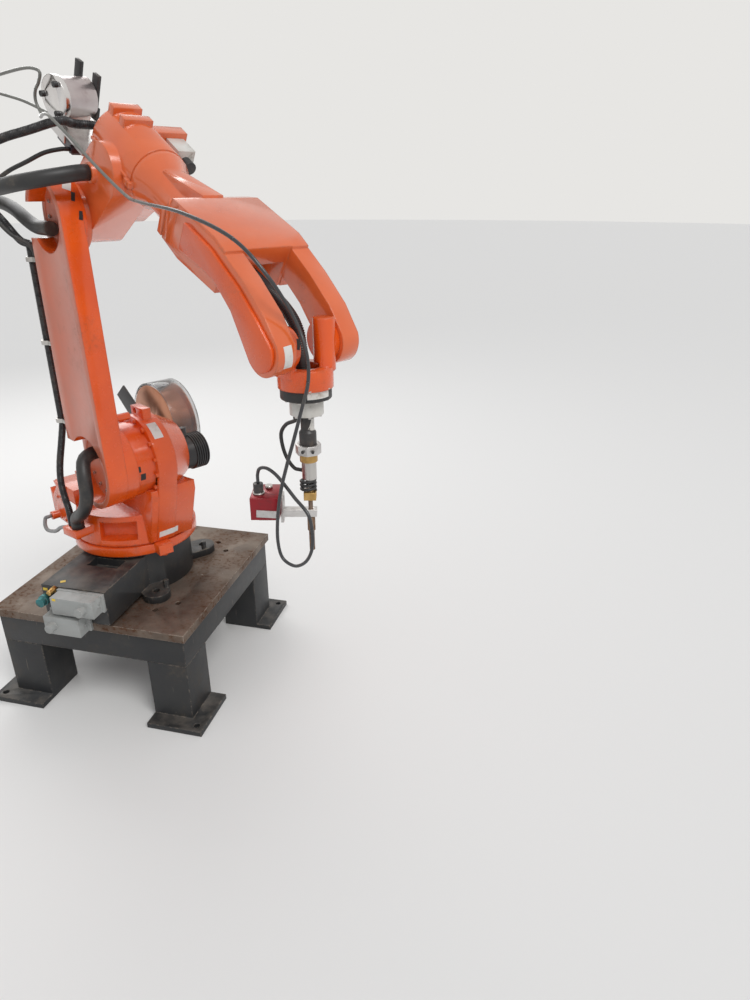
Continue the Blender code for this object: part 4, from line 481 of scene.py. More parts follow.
CABLE = Finish("glossy_cable_sheath", (0.15, 0.15, 0.135), (0.2, 0.2, 0.18), 0.28, coat=0.3,
    dirt=(0.11, 0.1, 0.08), dirt_share=0.2, edge=0.0005, ahead=(0.032, 0.033, 0.036), ahead_from=1.35)
GREY_CABLE = Finish("grey_cable_sheath", (0.3, 0.3, 0.3), (0.22, 0.22, 0.22), 0.42, dirt=(0.09, 0.07, 0.06),
    dirt_share=0.45, edge=0.0005)
WHITE = Finish("white_insulator", (0.72, 0.71, 0.67), (0.58, 0.55, 0.5), 0.38, dirt=(0.24, 0.19, 0.14),
    dirt_share=0.45, edge=0.001)
BLACK_PLASTIC = Finish("black_moulding", (0.018, 0.018, 0.02), (0.03, 0.029, 0.03), 0.38,
    dirt=(0.12, 0.09, 0.07), dirt_share=0.3, dust=0.3, edge=0.001)
RED = Finish("red_anodising", (0.4, 0.016, 0.028), (0.3, 0.012, 0.02), 0.3, metallic=0.35,
    wear=(0.55, 0.42, 0.4), wear_share=0.25, wear_metallic=0.8, dirt=(0.08, 0.03, 0.03), dirt_share=0.3,
    edge=0.0012)
COPPER = Finish("copper_coated_wire", (0.64, 0.31, 0.19), (0.5, 0.21, 0.12), 0.32, metallic=0.85,
    grain=Grain.WOUND, bump=0.8, dirt=(0.25, 0.1, 0.06), dirt_share=0.3, edge=0.0005)
TEAL = Finish("teal_plating", (0.04, 0.24, 0.25), (0.03, 0.16, 0.17), 0.36, metallic=0.5,
    grain=Grain.MACHINED, wear=(0.4, 0.4, 0.38), wear_share=0.4, wear_metallic=0.9, dirt=(0.05, 0.04, 0.03),
    dirt_share=0.4, edge=0.001)
CLEAR = Finish("clear_cover", (0.9, 0.91, 0.92), (0.84, 0.85, 0.85), 0.12, rough_spread=0.08, bump=0.05,
    dirt=(0.5, 0.46, 0.4), dirt_share=0.1, edge=0.0005, clear=0.96)
SPATTERED = Finish("heat_blued_nozzle", (0.2, 0.15, 0.12), (0.36, 0.22, 0.13), 0.5, metallic=0.8,
    grain=Grain.ROLLED, bump=0.6, wear=(0.5, 0.36, 0.24), wear_share=0.5, wear_metallic=0.9,
    dirt=(0.12, 0.05, 0.02), dirt_share=0.7, edge=0.0006)
DRUM = Finish("brushed_drum", (0.62, 0.57, 0.56), (0.5, 0.43, 0.43), 0.3, metallic=0.9, grain=Grain.MACHINED,
    bump=0.25, dirt=(0.2, 0.1, 0.09), dirt_share=0.35, edge=0.002)
PURPLE_BLACK = Finish("dark_motor_case", (0.03, 0.022, 0.034), (0.05, 0.036, 0.05), 0.36,
    dirt=(0.14, 0.1, 0.1), dirt_share=0.3, dust=0.35, edge=0.0015)
BLANK_LABEL = Finish("blank_white_label", (0.78, 0.77, 0.74), (0.7, 0.68, 0.64), 0.42, bump=0.05,
    dirt=(0.35, 0.28, 0.22), dirt_share=0.4, edge=0.0002)
YELLOW_LABEL = Finish("blank_yellow_label", (0.8, 0.56, 0.04), (0.7, 0.47, 0.03), 0.42, bump=0.05,
    dirt=(0.3, 0.22, 0.08), dirt_share=0.35, edge=0.0002)
# Near black for the screw sockets, where it is painted shade in the hole, and for the zero marks.
RECESS_SHADE_AND_MARK_DARK = Finish("recess_shade_and_mark_black", (0.012, 0.012, 0.012), (0.02, 0.02, 0.02), 0.6, dirt_share=0.1,
    edge=0.0002)


class Paintshop:
    """Keeps one material for each finish."""

    made: dict[str, bpy.types.Material] = {}

    @classmethod
    def coat(cls, finish: Finish) -> bpy.types.Material:
        """The material of a finish, built once."""
        if finish.name not in cls.made:
            cls.made[finish.name] = finish.make()
        return cls.made[finish.name]


def add_object(name: str, data: bpy.types.ID, finish: Finish | None = None) -> bpy.types.Object:
    """Puts a mesh, camera or lamp in the scene.

    Args:
        name: the piece's name.
        data: the mesh, in the row frame, or the camera or lamp.
        finish: its finish, if the mesh has none yet.

    Returns:
        The new object.
    """
    made = bpy.data.objects.new(name, data)
    bpy.context.scene.collection.objects.link(made)
    if finish is not None:
        data.materials.clear()
        data.materials.append(Paintshop.coat(finish))
    return made


def bake_modifiers(made: bpy.types.Object) -> None:
    """Turns an object's modifiers into plain mesh."""
    graph = bpy.context.evaluated_depsgraph_get()
    plain = bpy.data.meshes.new_from_object(made.evaluated_get(graph), depsgraph=graph)
    made.modifiers.clear()
    made.data = plain


def closed_mesh(shape: bmesh.types.BMesh, name: str) -> bpy.types.Mesh:
    """Turns a working mesh into a named one and frees it."""
    mesh = bpy.data.meshes.new(name)
    shape.to_mesh(mesh)
    shape.free()
    return mesh


@dataclass(frozen=True)
class Zone:
    """Faces with a finish of their own: those between two levels along an axis of a link."""

    finish: Finish
    link: Link
    axis: int
    above: float = -math.inf
    below: float = math.inf

    def covers(self, face: bpy.types.MeshPolygon) -> bool:
        """Whether a face lies in the zone."""
        return self.above < self.link.inside(face.center)[self.axis] < self.below


class FacingZone(Zone):
    """Faces that are turned against an axis of the link by more than a share."""

    def covers(self, face: bpy.types.MeshPolygon) -> bool:
        """Whether a face is turned that way."""
        ahead = [0.0, 0.0, 0.0]
        ahead[self.axis] = 1.0
        return face.normal.dot(self.link.along(ahead)) < self.below


@dataclass(frozen=True)
class ClipZone(Zone):
    """The clips that hold the conduit behind the upper arm's sloping back edge."""

    shares: tuple[float, ...] = (0.17, 0.51, 0.84)
    half_width: float = 0.0095
    edge_at_foot: float = -0.140
    edge_slope: float = 0.025
    arm_side: float = -0.17

    def covers(self, face: bpy.types.MeshPolygon) -> bool:
        """Whether a face belongs to a clip."""
        local = self.link.inside(face.center)
        away = min(abs(local.z - ARM_LENGTH * share) for share in self.shares)
        edge = self.edge_at_foot + self.edge_slope * local.z / ARM_LENGTH
        return away < self.half_width and local.x < edge and local.y < self.arm_side


MERGED_WITHIN = 0.00002
FLAT_WITHIN = math.radians(0.4)
BEVELLED_FROM = math.radians(32.0)
SHARP_FROM = math.radians(38.0)


@dataclass(frozen=True)
class SoftShell:
    """A piece whose solid gets rounded edges and smooth sides."""

    node: str
    finish: Finish
    edge: float
    zones: tuple[Zone, ...] = ()

    def build(self, frame: dict[str, Any]) -> None:
        """Makes the shell over its solid.

        Args:
            frame: the robot's solids, by name.
        """
        solid = frame["nodes"][self.node]
        shape = bmesh.new()
        shape.from_mesh(solid.data)
        bmesh.ops.remove_doubles(shape, verts=shape.verts, dist=MERGED_WITHIN)
        bmesh.ops.dissolve_limit(shape, angle_limit=FLAT_WITHIN, verts=shape.verts, edges=shape.edges)
        made = add_object(self.node + "_shell", closed_mesh(shape, self.node + "_shell"), self.finish)
        bevel = made.modifiers.new("rounded", "BEVEL")
        bevel.width = self.edge
        bevel.segments = 2
        bevel.limit_method = "ANGLE"
        bevel.angle_limit = BEVELLED_FROM
        bevel.use_clamp_overlap = True
        bevel.miter_outer = "MITER_ARC"
        bake_modifiers(made)
        made.data.shade_smooth()
        made.data.set_sharp_from_angle(angle=SHARP_FROM)
        for place, zone in enumerate(self.zones, start=1):
            made.data.materials.append(Paintshop.coat(zone.finish))
            for face in made.data.polygons:
                if zone.covers(face):
                    face.material_index = place
        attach(made, solid["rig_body"])
        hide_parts(self.node)


def swept(points: Sequence[Vector], radius: float, sides: int, dip: float = 0.0,
          along: float = 0.0) -> tuple[bpy.types.Mesh, float]:
    """Sweeps a round section along a line of points.

    Args:
        points: the line, in the row frame.
        radius: the section's radius.
        sides: how many sides it has.
        dip: how far every second pair of sections is drawn in, as ribs.
        along: the U value that the line starts from.

    Returns:
        The closed mesh, with the distance walked as U, and the length.
    """
    shape = bmesh.new()
    layer = shape.loops.layers.uv.new("along")
    rings: list[list[bmesh.types.BMVert]] = []
    walked = [0.0]
    side = None
    for place, point in enumerate(points):
        ahead = points[min(place + 1, len(points) - 1)] - points[max(place - 1, 0)]
        ahead.normalize()
        if side is None:
            side = ahead.orthogonal().normalized()
        side = (side - ahead * side.dot(ahead)).normalized()
        other = ahead.cross(side)
        here = radius - (dip if place % 4 in (2, 3) else 0.0)
        ring = []
        for step in range(sides):
            turn = math.tau * step / sides
            ring.append(shape.verts.new(point + side * math.cos(turn) * here + other * math.sin(turn) * here))
        rings.append(ring)
        if place:
            walked.append(walked[-1] + (point - points[place - 1]).length)
    for place, (low, high) in enumerate(zip(rings, rings[1:])):
        for step in range(sides):
            after = (step + 1) % sides
            face = shape.faces.new((low[step], low[after], high[after], high[step]))
            face.smooth = True
            spots = ((place, step), (place, step + 1), (place + 1, step + 1), (place + 1, step))
            for loop, (row, column) in zip(face.loops, spots):
                loop[layer].uv = (along + walked[row], column / sides)
    shape.faces.new(list(reversed(rings[0])))
    shape.faces.new(rings[-1])
    bmesh.ops.recalc_face_normals(shape, faces=shape.faces)
    return closed_mesh(shape, "swept"), walked[-1]


SPLINE_STEPS = 24
PITCH_SHARE = 0.8
RIB_STEPS = 4


@dataclass(frozen=True)
class Hose:
    """A hose or cable on a smooth curve through its route.

    It rides on its one body; with two bodies it stays in place in the row frame.
    """

    node: str
    finish: Finish
    radius: float
    route: Sequence[Point]
    sides: int
    bodies: tuple[Body, ...] = ()
    start: Vector | None = None
    end: Vector | None = None
    rib_pitch: float = 0.0
    rib_depth: float = 0.0

    def centreline(self) -> list[Vector]:
        """Close points along the route, with straight first and last lengths."""
        knots = [Vector(point) for point in self.route]
        fine: list[Vector] = [knots[0]]
        for before, first, second, after in zip(knots, knots[1:], knots[2:], knots[3:]):
            for step in range(SPLINE_STEPS):
                share = step / SPLINE_STEPS
                bend = before * 2 - first * 5 + second * 4 - after
                lift = first * 3 - before - second * 3 + after
                run = (second - before) * share
                fine.append((first * 2 + run + bend * share ** 2 + lift * share ** 3) / 2)
        fine += [knots[-2], knots[-1]]
        pitch = self.rib_pitch / RIB_STEPS if self.rib_pitch else self.radius * PITCH_SHARE
        total = sum((end - start).length for start, end in zip(fine, fine[1:]))
        count = max(8, round(total / pitch))
        points, walked, goal = [fine[0]], 0.0, total / count
        for start, end in zip(fine, fine[1:]):
            step = (end - start).length
            while step > 0 and walked + step >= goal * len(points) and len(points) < count:
                points.append(start.lerp(end, (goal * len(points) - walked) / step))
            walked += step
        points.append(fine[-1])
        return points

    def build(self) -> None:
        """Makes the tube over its solid."""
        mesh, length = swept(self.centreline(), self.radius, self.sides, self.rib_depth)
        made = add_object(self.node + "_run", mesh, self.finish)
        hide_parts(self.node)
        names = [body.value for body in self.bodies]
        if len(names) == 1:
            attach(made, names[0])
        else:
            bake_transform(made)
        LOG.info("%s, %.2f m long", made.name, length)


@dataclass(frozen=True)
class SensorCable:
    """The free cable, in three stretches end to end, cut near the fork and the wrist."""

    hose: Hose
    fork_cut: Point = (0.491, -0.5296, 1.664)
    wrist_cut: Point = (0.6429, -0.5166, 1.357)

    def build(self) -> None:
        """Makes the three stretches."""
        line, radius = self.hose.centreline(), self.hose.radius
        fork, wrist = Vector(self.fork_cut), Vector(self.wrist_cut)
        past_fork, past_wrist = (
            min(range(len(line)), key=lambda place: (line[place] - cut).length) for cut in (fork, wrist))
        stretches = (
            ("run", 0, past_fork, Body.ELBOW, Body.FOREARM,
             FOREARM.at((0.05, 0.0, 0.0)), FOREARM.at((0.30, 0.0, 0.0))),
            ("bend", past_fork, past_wrist, Body.FOREARM, Body.WRIST, fork, wrist),
            ("drop", past_wrist, len(line) - 1, Body.WRIST, Body.TOOL,
             TOOL.at((0.07, 0.0, 0.0)), TOOL.at((0.21, 0.0, 0.0))),
        )
        walked = 0.0
        for name, first, last, before, after, start, end in stretches:
            part = line[first:last + 1]
            mesh, length = swept(part, radius, self.hose.sides, along=walked)
            walked += length
            made = add_object(f"{self.hose.node}_{name}", mesh, self.hose.finish)
            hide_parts(self.hose.node)
            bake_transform(made)
            radius * 2


@dataclass(frozen=True)
class ScrewRing:
    """Where a ring of screws sits on its link, and their sizes."""

    name: str
    link: Link
    centre: Point
    axis: Point
    circle: float
    count: int
    head: float
    height: float


class ScrewTree:
    """A Geometry Nodes tree that sets screws evenly on a circle."""

    recess_width_share = 0.52
    recess_depth_share = 0.12

    def __init__(self, head: Finish, recess: Finish) -> None:
        """Builds the tree with its named inputs."""
        tree = bpy.data.node_groups.new("screws_on_a_circle", "GeometryNodeTree")
        self.tree = tree
        for way in ("INPUT", "OUTPUT"):
            tree.interface.new_socket("Geometry", in_out=way, socket_type="NodeSocketGeometry")
        tree.interface.new_socket("Count", in_out="INPUT", socket_type="NodeSocketInt")
        for name in ("Circle Radius", "Head Radius", "Head Height"):
            tree.interface.new_socket(name, in_out="INPUT", socket_type="NodeSocketFloat")
        self.inlet = tree.nodes.new("NodeGroupInput")
        outlet = tree.nodes.new("NodeGroupOutput")
        circle = self._node("GeometryNodeMeshCircle", Vertices="Count", Radius="Circle Radius")
        parts = tree.nodes.new("GeometryNodeJoinGeometry")
        heads = self._cylinder(12, 1.0, 1.0, 0.5)
        # Each recess is a thin dark disc at the head's top: painted shade of the screw's socket.
        recesses = self._cylinder(6, self.recess_width_share, self.recess_depth_share, 1.0)
        for shape, finish in ((heads, head), (recesses, recess)):
            paint = self._node("GeometryNodeSetMaterial", Geometry=shape, Material=Paintshop.coat(finish))
            tree.links.new(paint.outputs[0], parts.inputs[0])
        spread = self._node("GeometryNodeInstanceOnPoints", Points=circle.outputs["Mesh"],
                            Instance=parts.outputs[0])
        real = self._node("GeometryNodeRealizeInstances", Geometry=spread.outputs[0])
        tree.links.new(real.outputs[0], outlet.inputs[0])

    def _node(self, kind: str, **values: Any) -> bpy.types.Node:
        """Adds a node.

        Args:
            kind: the node's type.
            values: for each socket a number, a material, a socket, or the name of one of the tree's inputs.

        Returns:
            The node.
        """
        node = self.tree.nodes.new(kind)
        for key, item in values.items():
            source = self.inlet.outputs[item] if isinstance(item, str) else item
            if isinstance(source, bpy.types.NodeSocket):
                self.tree.links.new(source, node.inputs[key])
            else:
                node.inputs[key].default_value = source
        return node

    def _share(self, name: str, share: float) -> bpy.types.NodeSocket:
        """A share of one of the tree's named inputs."""
        maths = self.tree.nodes.new("ShaderNodeMath")
        maths.operation = "MULTIPLY"
        maths.inputs[1].default_value = share
        self.tree.links.new(self.inlet.outputs[name], maths.inputs[0])
        return maths.outputs[0]

    def _cylinder(self, sides: int, width: float, height: float, rise: float) -> bpy.types.NodeSocket:
        """A head or the dark disc of painted shade in its recess, sized from the named inputs.

        Args:
            sides: how many sides it has.
            width: its radius as a share of the head's.
            height: its height as a share of the head's.
            rise: how far its middle stands above the seat, as a share of the head's height.

        Returns:
            The shape in its place.
        """
        body = self._node("GeometryNodeMeshCylinder", Vertices=sides,
                          Radius=self._share("Head Radius", width), Depth=self._share("Head Height", height))
        lift = self._node("ShaderNodeCombineXYZ", Z=self._share("Head Height", rise))
        move = self._node("GeometryNodeTransform", Geometry=body.outputs["Mesh"], Translation=lift.outputs[0])
        return move.outputs[0]

    def place(self, ring: ScrewRing) -> None:
        """Makes one ring of screws as a plain mesh.

        Args:
            ring: its place and sizes.
        """
        made = add_object(ring.name, bpy.data.meshes.new(ring.name))
        change = made.modifiers.new("screws", "NODES")
        change.node_group = self.tree
        wanted = {"Count": ring.count, "Circle Radius": ring.circle, "Head Radius": ring.head,
                  "Head Height": ring.height}
        for item in self.tree.interface.items_tree:
            if item.item_type == "SOCKET" and item.in_out == "INPUT" and item.name in wanted:
                change[item.identifier] = wanted[item.name]
        bake_modifiers(made)
        turn = ring.link.along(ring.axis).normalized().to_track_quat("Z", "Y").to_matrix().to_4x4()
        made.data.transform(Matrix.Translation(ring.link.at(ring.centre)) @ turn)
        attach(made, ring.link.body.value)
        LOG.info("%s: %d screws", ring.name, ring.count)


@dataclass(frozen=True)
class Fitting:
    """A small round piece swept along points of the tool's link."""

    name: str
    finish: Finish
    line: Sequence[Point]
    radius: float
    sides: int

    def build(self) -> None:
        """Sweeps the piece."""
        mesh, _ = swept([TOOL.at(point) for point in self.line], self.radius, self.sides)
        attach(add_object(self.name, mesh, self.finish), TOOL.body.value)


PROBE_FROM = 0.02
PROBE_REACH = 0.05


@dataclass(frozen=True)
class Plate:
    """A thin label or painted mark that follows the surface it lies on."""

    name: str
    node: str
    finish: Finish
    centre: Point
    normal: Point
    upward: Point
    width: float
    height: float
    proud: float = 0.0006
    cells: int = 10

    def build(self, frame: dict[str, Any]) -> None:
        """Lays the plate on its solid.

        Args:
            frame: the robot's solids, by name.
        """
        solid = frame["nodes"][self.node]
        surface = BVHTree.FromPolygons([vert.co for vert in solid.data.vertices],
                                       [face.vertices[:] for face in solid.data.polygons])
        out = Vector(self.normal).normalized()
        high = Vector(self.upward)
        high = (high - out * high.dot(out)).normalized()
        wide = high.cross(out)
        shape = bmesh.new()
        front: list[list[bmesh.types.BMVert]] = []
        back: list[list[bmesh.types.BMVert]] = []
        for row in range(self.cells + 1):
            front.append([])
            back.append([])
            for column in range(self.cells + 1):
                across = wide * (column / self.cells - 0.5) * self.width
                spot = Vector(self.centre) + across + high * (row / self.cells - 0.5) * self.height
                touch = surface.ray_cast(spot + out * PROBE_FROM, -out, PROBE_REACH)[0] or spot
                front[row].append(shape.verts.new(touch + out * self.proud))
                back[row].append(shape.verts.new(touch - out * self.proud))
        strips = [pair for grid in (front, back) for pair in zip(grid, grid[1:])]
        strips += [(front[row], back[row]) for row in (-1, 0)]
        strips += [([line[side] for line in front], [line[side] for line in back]) for side in (0, -1)]
        for upper, lower in strips:
            for place in range(self.cells):
                shape.faces.new((upper[place], upper[place + 1], lower[place + 1], lower[place]))
        bmesh.ops.recalc_face_normals(shape, faces=shape.faces)
        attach(add_object(self.name, closed_mesh(shape, self.name), self.finish), solid["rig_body"])


UNITS_PER_METRE = 10000


def in_metres(*points: tuple[int, int, int]) -> tuple[Point, ...]:
    """A route in metres, from points in tenths of a millimetre."""
    return tuple(tuple(value / UNITS_PER_METRE for value in point) for point in points)


ARM_CONDUIT = in_metres(
    (-4078, -351, 15739), (-4078, -351, 15462), (-4129, -320, 13168), (-4129, -320, 12888),
    (-4181, -289, 10516), (-4181, -289, 10236), (-4260, -398, 9660), (-4416, -538, 8770),
    (-4375, -703, 8200), (-4230, -850, 7730), (-4047, -991, 7333), (-4055, -965, 6973), (-4055, -965, 6673))
ELBOW_CONDUIT = in_metres(
    (-639, -213, 19014), (-782, -126, 19117), (-1027, -117, 19189), (-1374, -246, 19236),
    (-1679, -587, 19252), (-1822, -1085, 19290), (-2741, -1229, 19070), (-3658, -1256, 18865),
    (-4712, -1025, 18550), (-5566, -506, 18050), (-5831, -75, 17500), (-5461, -43, 17050),
    (-4922, -254, 16670), (-4440, -289, 16150), (-4078, -351, 16022), (-4078, -351, 15742))
SHOULDER_HOSE = in_metres(
    (-2414, -904, 9600), (-2574, -1166, 9600), (-2594, -1623, 9500), (-2441, -1949, 9100),
    (-2428, -2004, 8500), (-2643, -1897, 7970), (-3026, -1641, 7550), (-3479, -1307, 7230),
    (-3714, -1098, 6973), (-3714, -1098, 6673))
ELBOW_HOSE = in_metres(
    (-937, -1440, 18005), (-1039, -1608, 18005), (-1391, -2108, 17920), (-1864, -2405, 17830),
    (-2516, -2419, 17740), (-3399, -2139, 17630), (-4366, -1996, 17560), (-5302, -1708, 17510),
    (-6083, -1163, 17460), (-6610, -433, 17410), (-6745, 328, 17350), (-6459, 856, 17290),
    (-5978, 973, 17210), (-5412, 711, 17100), (-4791, 287, 16950), (-4262, -93, 16770), (-3859, -315, 16610),
    (-3548, -498, 16540), (-3138, -747, 16530), (-2711, -1007, 16530))
FEEDER_HOSE = in_metres(
    (-2076, -443, 18632), (-2179, -611, 18632), (-2550, -935, 18530), (-3057, -1095, 18300),
    (-3784, -1039, 18050), (-4540, -743, 17750), (-5019, -569, 17330), (-4891, -647, 16850),
    (-4435, -667, 16350), (-3997, -524, 16050), (-3865, -481, 15815), (-3865, -481, 15675))
SENSOR_CABLE = in_metres(
    (-2593, 372, 19162), (-2736, 459, 19265), (-3201, 689, 19550), (-4323, 962, 20000), (-5326, 1045, 20270),
    (-5680, 886, 20430), (-5218, 453, 20530), (-4241, -59, 20570), (-3293, -425, 20630),
    (-2761, -608, 20620), (-2449, -692, 20510), (-2586, -609, 20290), (-2848, -462, 20100),
    (-2945, -391, 19850), (-2815, -446, 19570), (-2643, -703, 19430), (-2224, -1168, 19450),
    (-1806, -1540, 19400), (-1336, -1825, 19130), (-799, -2000, 18700), (-234, -2168, 18200),
    (936, -2785, 17470), (1629, -3301, 17315), (3380, -4541, 17120), (4910, -5296, 16640),
    (5767, -5465, 15850), (6128, -5053, 14950), (6412, -5155, 14250), (6429, -5166, 13570),
    (6216, -5130, 12850), (6009, -5144, 12150), (5801, -5158, 11480), (5622, -5202, 10800),
    (5485, -5177, 10080), (5426, -5141, 9320), (5537, -5150, 8830), (5915, -5298, 8730), (6271, -5444, 8980),
    (6480, -5524, 9420), (6487, -5493, 9910), (6376, -5426, 10320), (5984, -5223, 10620),
    (5688, -5055, 10850), (5389, -4931, 11090), (5122, -4851, 11200), (4898, -4767, 11130),
    (4799, -4697, 10899), (4799, -4697, 10699))
FOREARM_HOSE = in_metres(
    (3623, -2875, 16216), (3913, -3051, 16009), (4540, -3432, 15676), (5150, -3803, 15309),
    (5651, -4107, 14926), (5894, -4255, 14587), (5982, -4309, 14219), (6006, -4300, 13729),
    (6017, -4272, 13266))
TORCH_LEAD = in_metres(
    (5802, -4433, 12513), (5802, -4433, 12376), (5495, -4260, 12196), (5289, -4121, 11896),
    (5321, -4132, 11516), (5442, -4128, 11176), (5639, -4146, 10956), (5852, -4190, 10956))
GLAND_CABLE = in_metres(
    (-6044, 448, 6161), (-6127, 312, 6161), (-6222, 302, 6090), (-6113, 96, 5930), (-5861, -104, 5840),
    (-5276, -413, 6020), (-4795, -682, 6350), (-4380, -882, 6520), (-4250, -933, 6520))

BACKDROP = (0.80, 0.79, 0.77, 1.0)
SKY = (0.94, 0.96, 1.0, 1.0)


@dataclass
class Studio:
    """Camera, floor and light."""

    camera_at: Point = (1.15412, -2.00829, 1.7693)
    tilt: float = 65.66
    turn: float = 13.32
    lens: float = 33.41
    sensor_width: float = 36.0
    view_reach: float = 100.0
    floor_radius: float = 40.0
    floor_drop: float = 0.0005
    sun_energy: float = 1.5
    sun_width: float = 28.0
    sun_turn: tuple[float, float, float] = (38.0, 12.0, 35.0)
    rim_at: Point = (-2.6, 2.6, 3.6)
    rim_aim: Point = (0.0, -0.1, 1.0)
    rim_size: float = 3.0
    rim_power: float = 60.0
    sky_strength: float = 0.52

    def camera(self) -> None:
        """Sets the camera at the photograph's angle."""
        data = bpy.data.cameras.new("view")
        data.sensor_fit = "HORIZONTAL"
        data.sensor_width = self.sensor_width
        data.lens = self.lens
        data.clip_end = self.view_reach
        made = add_object("view", data)
        made.location = self.camera_at
        made.rotation_euler = (math.radians(self.tilt), 0.0, math.radians(self.turn))
        bpy.context.scene.camera = made

    def floor(self) -> None:
        """Lays a plain pale floor."""
        shape = bmesh.new()
        bmesh.ops.create_circle(shape, cap_ends=True, radius=self.floor_radius, segments=64)
        made = add_object("floor", closed_mesh(shape, "floor"))
        made.location = (0.0, 0.0, -self.floor_drop)
        shader = Shader("pale_floor")
        shader.feed(shader.surface, Base_Color=BACKDROP, Roughness=0.85)
        made.data.materials.append(shader.material)

    def light(self) -> None:
        """Hangs two soft lamps and sets the sky."""
        sun = bpy.data.lights.new("key", "SUN")
        sun.energy = self.sun_energy
        sun.angle = math.radians(self.sun_width)
        add_object("key", sun).rotation_euler = [math.radians(turn) for turn in self.sun_turn]
        disk = bpy.data.lights.new("rim", "AREA")
        disk.shape = "DISK"
        disk.size = self.rim_size
        disk.energy = self.rim_power
        rim = add_object("rim", disk)
        rim.location = self.rim_at
        rim.rotation_mode = "QUATERNION"
        rim.rotation_quaternion = (Vector(self.rim_aim) - Vector(self.rim_at)).to_track_quat("-Z", "Y")
        self._sky()

    def _sky(self) -> None:
        """Lights the robot from all round, behind a plain backdrop."""
        world = bpy.data.worlds.new("sky")
        world.use_nodes = True
        tree = world.node_tree
        tree.nodes.clear()
        out = tree.nodes.new("ShaderNodeOutputWorld")
        lit, seen = (tree.nodes.new("ShaderNodeBackground") for _ in range(2))
        lit.inputs["Color"].default_value = SKY
        lit.inputs["Strength"].default_value = self.sky_strength
        seen.inputs["Color"].default_value = BACKDROP
        path = tree.nodes.new("ShaderNodeLightPath")
        camera, glossy, through = (
            Value(tree, path.outputs[f"Is {kind} Ray"]) for kind in ("Camera", "Glossy", "Transmission"))
        mix = tree.nodes.new("ShaderNodeMixShader")
        tree.links.new((camera + glossy + through).held().socket, mix.inputs[0])
        tree.links.new(lit.outputs[0], mix.inputs[1])
        tree.links.new(seen.outputs[0], mix.inputs[2])
        tree.links.new(mix.outputs[0], out.inputs["Surface"])
        bpy.context.scene.world = world


SENSOR_LINE = SensorCable(Hose("sensor_cable", CABLE, 0.0045, SENSOR_CABLE, sides=10))
HOSES: tuple[Hose, ...] = (
    Hose("arm_conduit", CONDUIT, 0.012, ARM_CONDUIT, 16, (Body.TURRET, Body.UPPER_ARM),
         UPPER_ARM.at((-0.137, -0.2457, -0.22)), UPPER_ARM.at((-0.18, -0.195, 0.13)),
         rib_pitch=0.0044, rib_depth=0.0011),
    Hose("shoulder_hose", RUBBER, 0.022, SHOULDER_HOSE, 20, (Body.TURRET, Body.UPPER_ARM),
         UPPER_ARM.at((-0.101, -0.239, -0.21)), UPPER_ARM.at((0.0, -0.18, 0.055))),
    Hose("elbow_conduit", CONDUIT, 0.012, ELBOW_CONDUIT, 16, (Body.UPPER_ARM, Body.ELBOW),
         UPPER_ARM.at((-0.17, -0.19, 0.68)), ELBOW.at((-0.03, -0.02, 0.25)),
         rib_pitch=0.0044, rib_depth=0.0011),
    Hose("elbow_hose", RUBBER, 0.021, ELBOW_HOSE, 20, (Body.UPPER_ARM, Body.ELBOW),
         UPPER_ARM.at((-0.07, -0.18, 0.748)), UPPER_ARM.at((0.154, -0.15, 0.90))),
    Hose("feeder_hose", RUBBER, 0.006, FEEDER_HOSE, 12, (Body.UPPER_ARM, Body.ELBOW),
         UPPER_ARM.at((-0.16, -0.20, 0.67)), UPPER_ARM.at((0.0, -0.12, 0.957))),
    Hose("forearm_hose", CONDUIT, 0.016, FOREARM_HOSE, 18, (Body.FOREARM, Body.WRIST),
         FOREARM.at((0.85, 0.0, 0.03)), WRIST.at((0.03, 0.0, 0.0)), rib_pitch=0.0052, rib_depth=0.0015),
    Hose("torch_lead", RUBBER, 0.005, TORCH_LEAD, 10, (Body.TOOL,)),
    Hose("gland_cable", GREY_CABLE, 0.007, GLAND_CABLE, 12, (Body.TURRET,)),
)

# Widths of the rounded edges.
BROAD_EDGE = 0.005
CASTING_EDGE = 0.004
COVER_EDGE = 0.003
PLATE_EDGE = 0.002
CASE_EDGE = 0.0015
FITTING_EDGE = 0.001
FINE_EDGE = 0.0008
TIP_EDGE = 0.0005
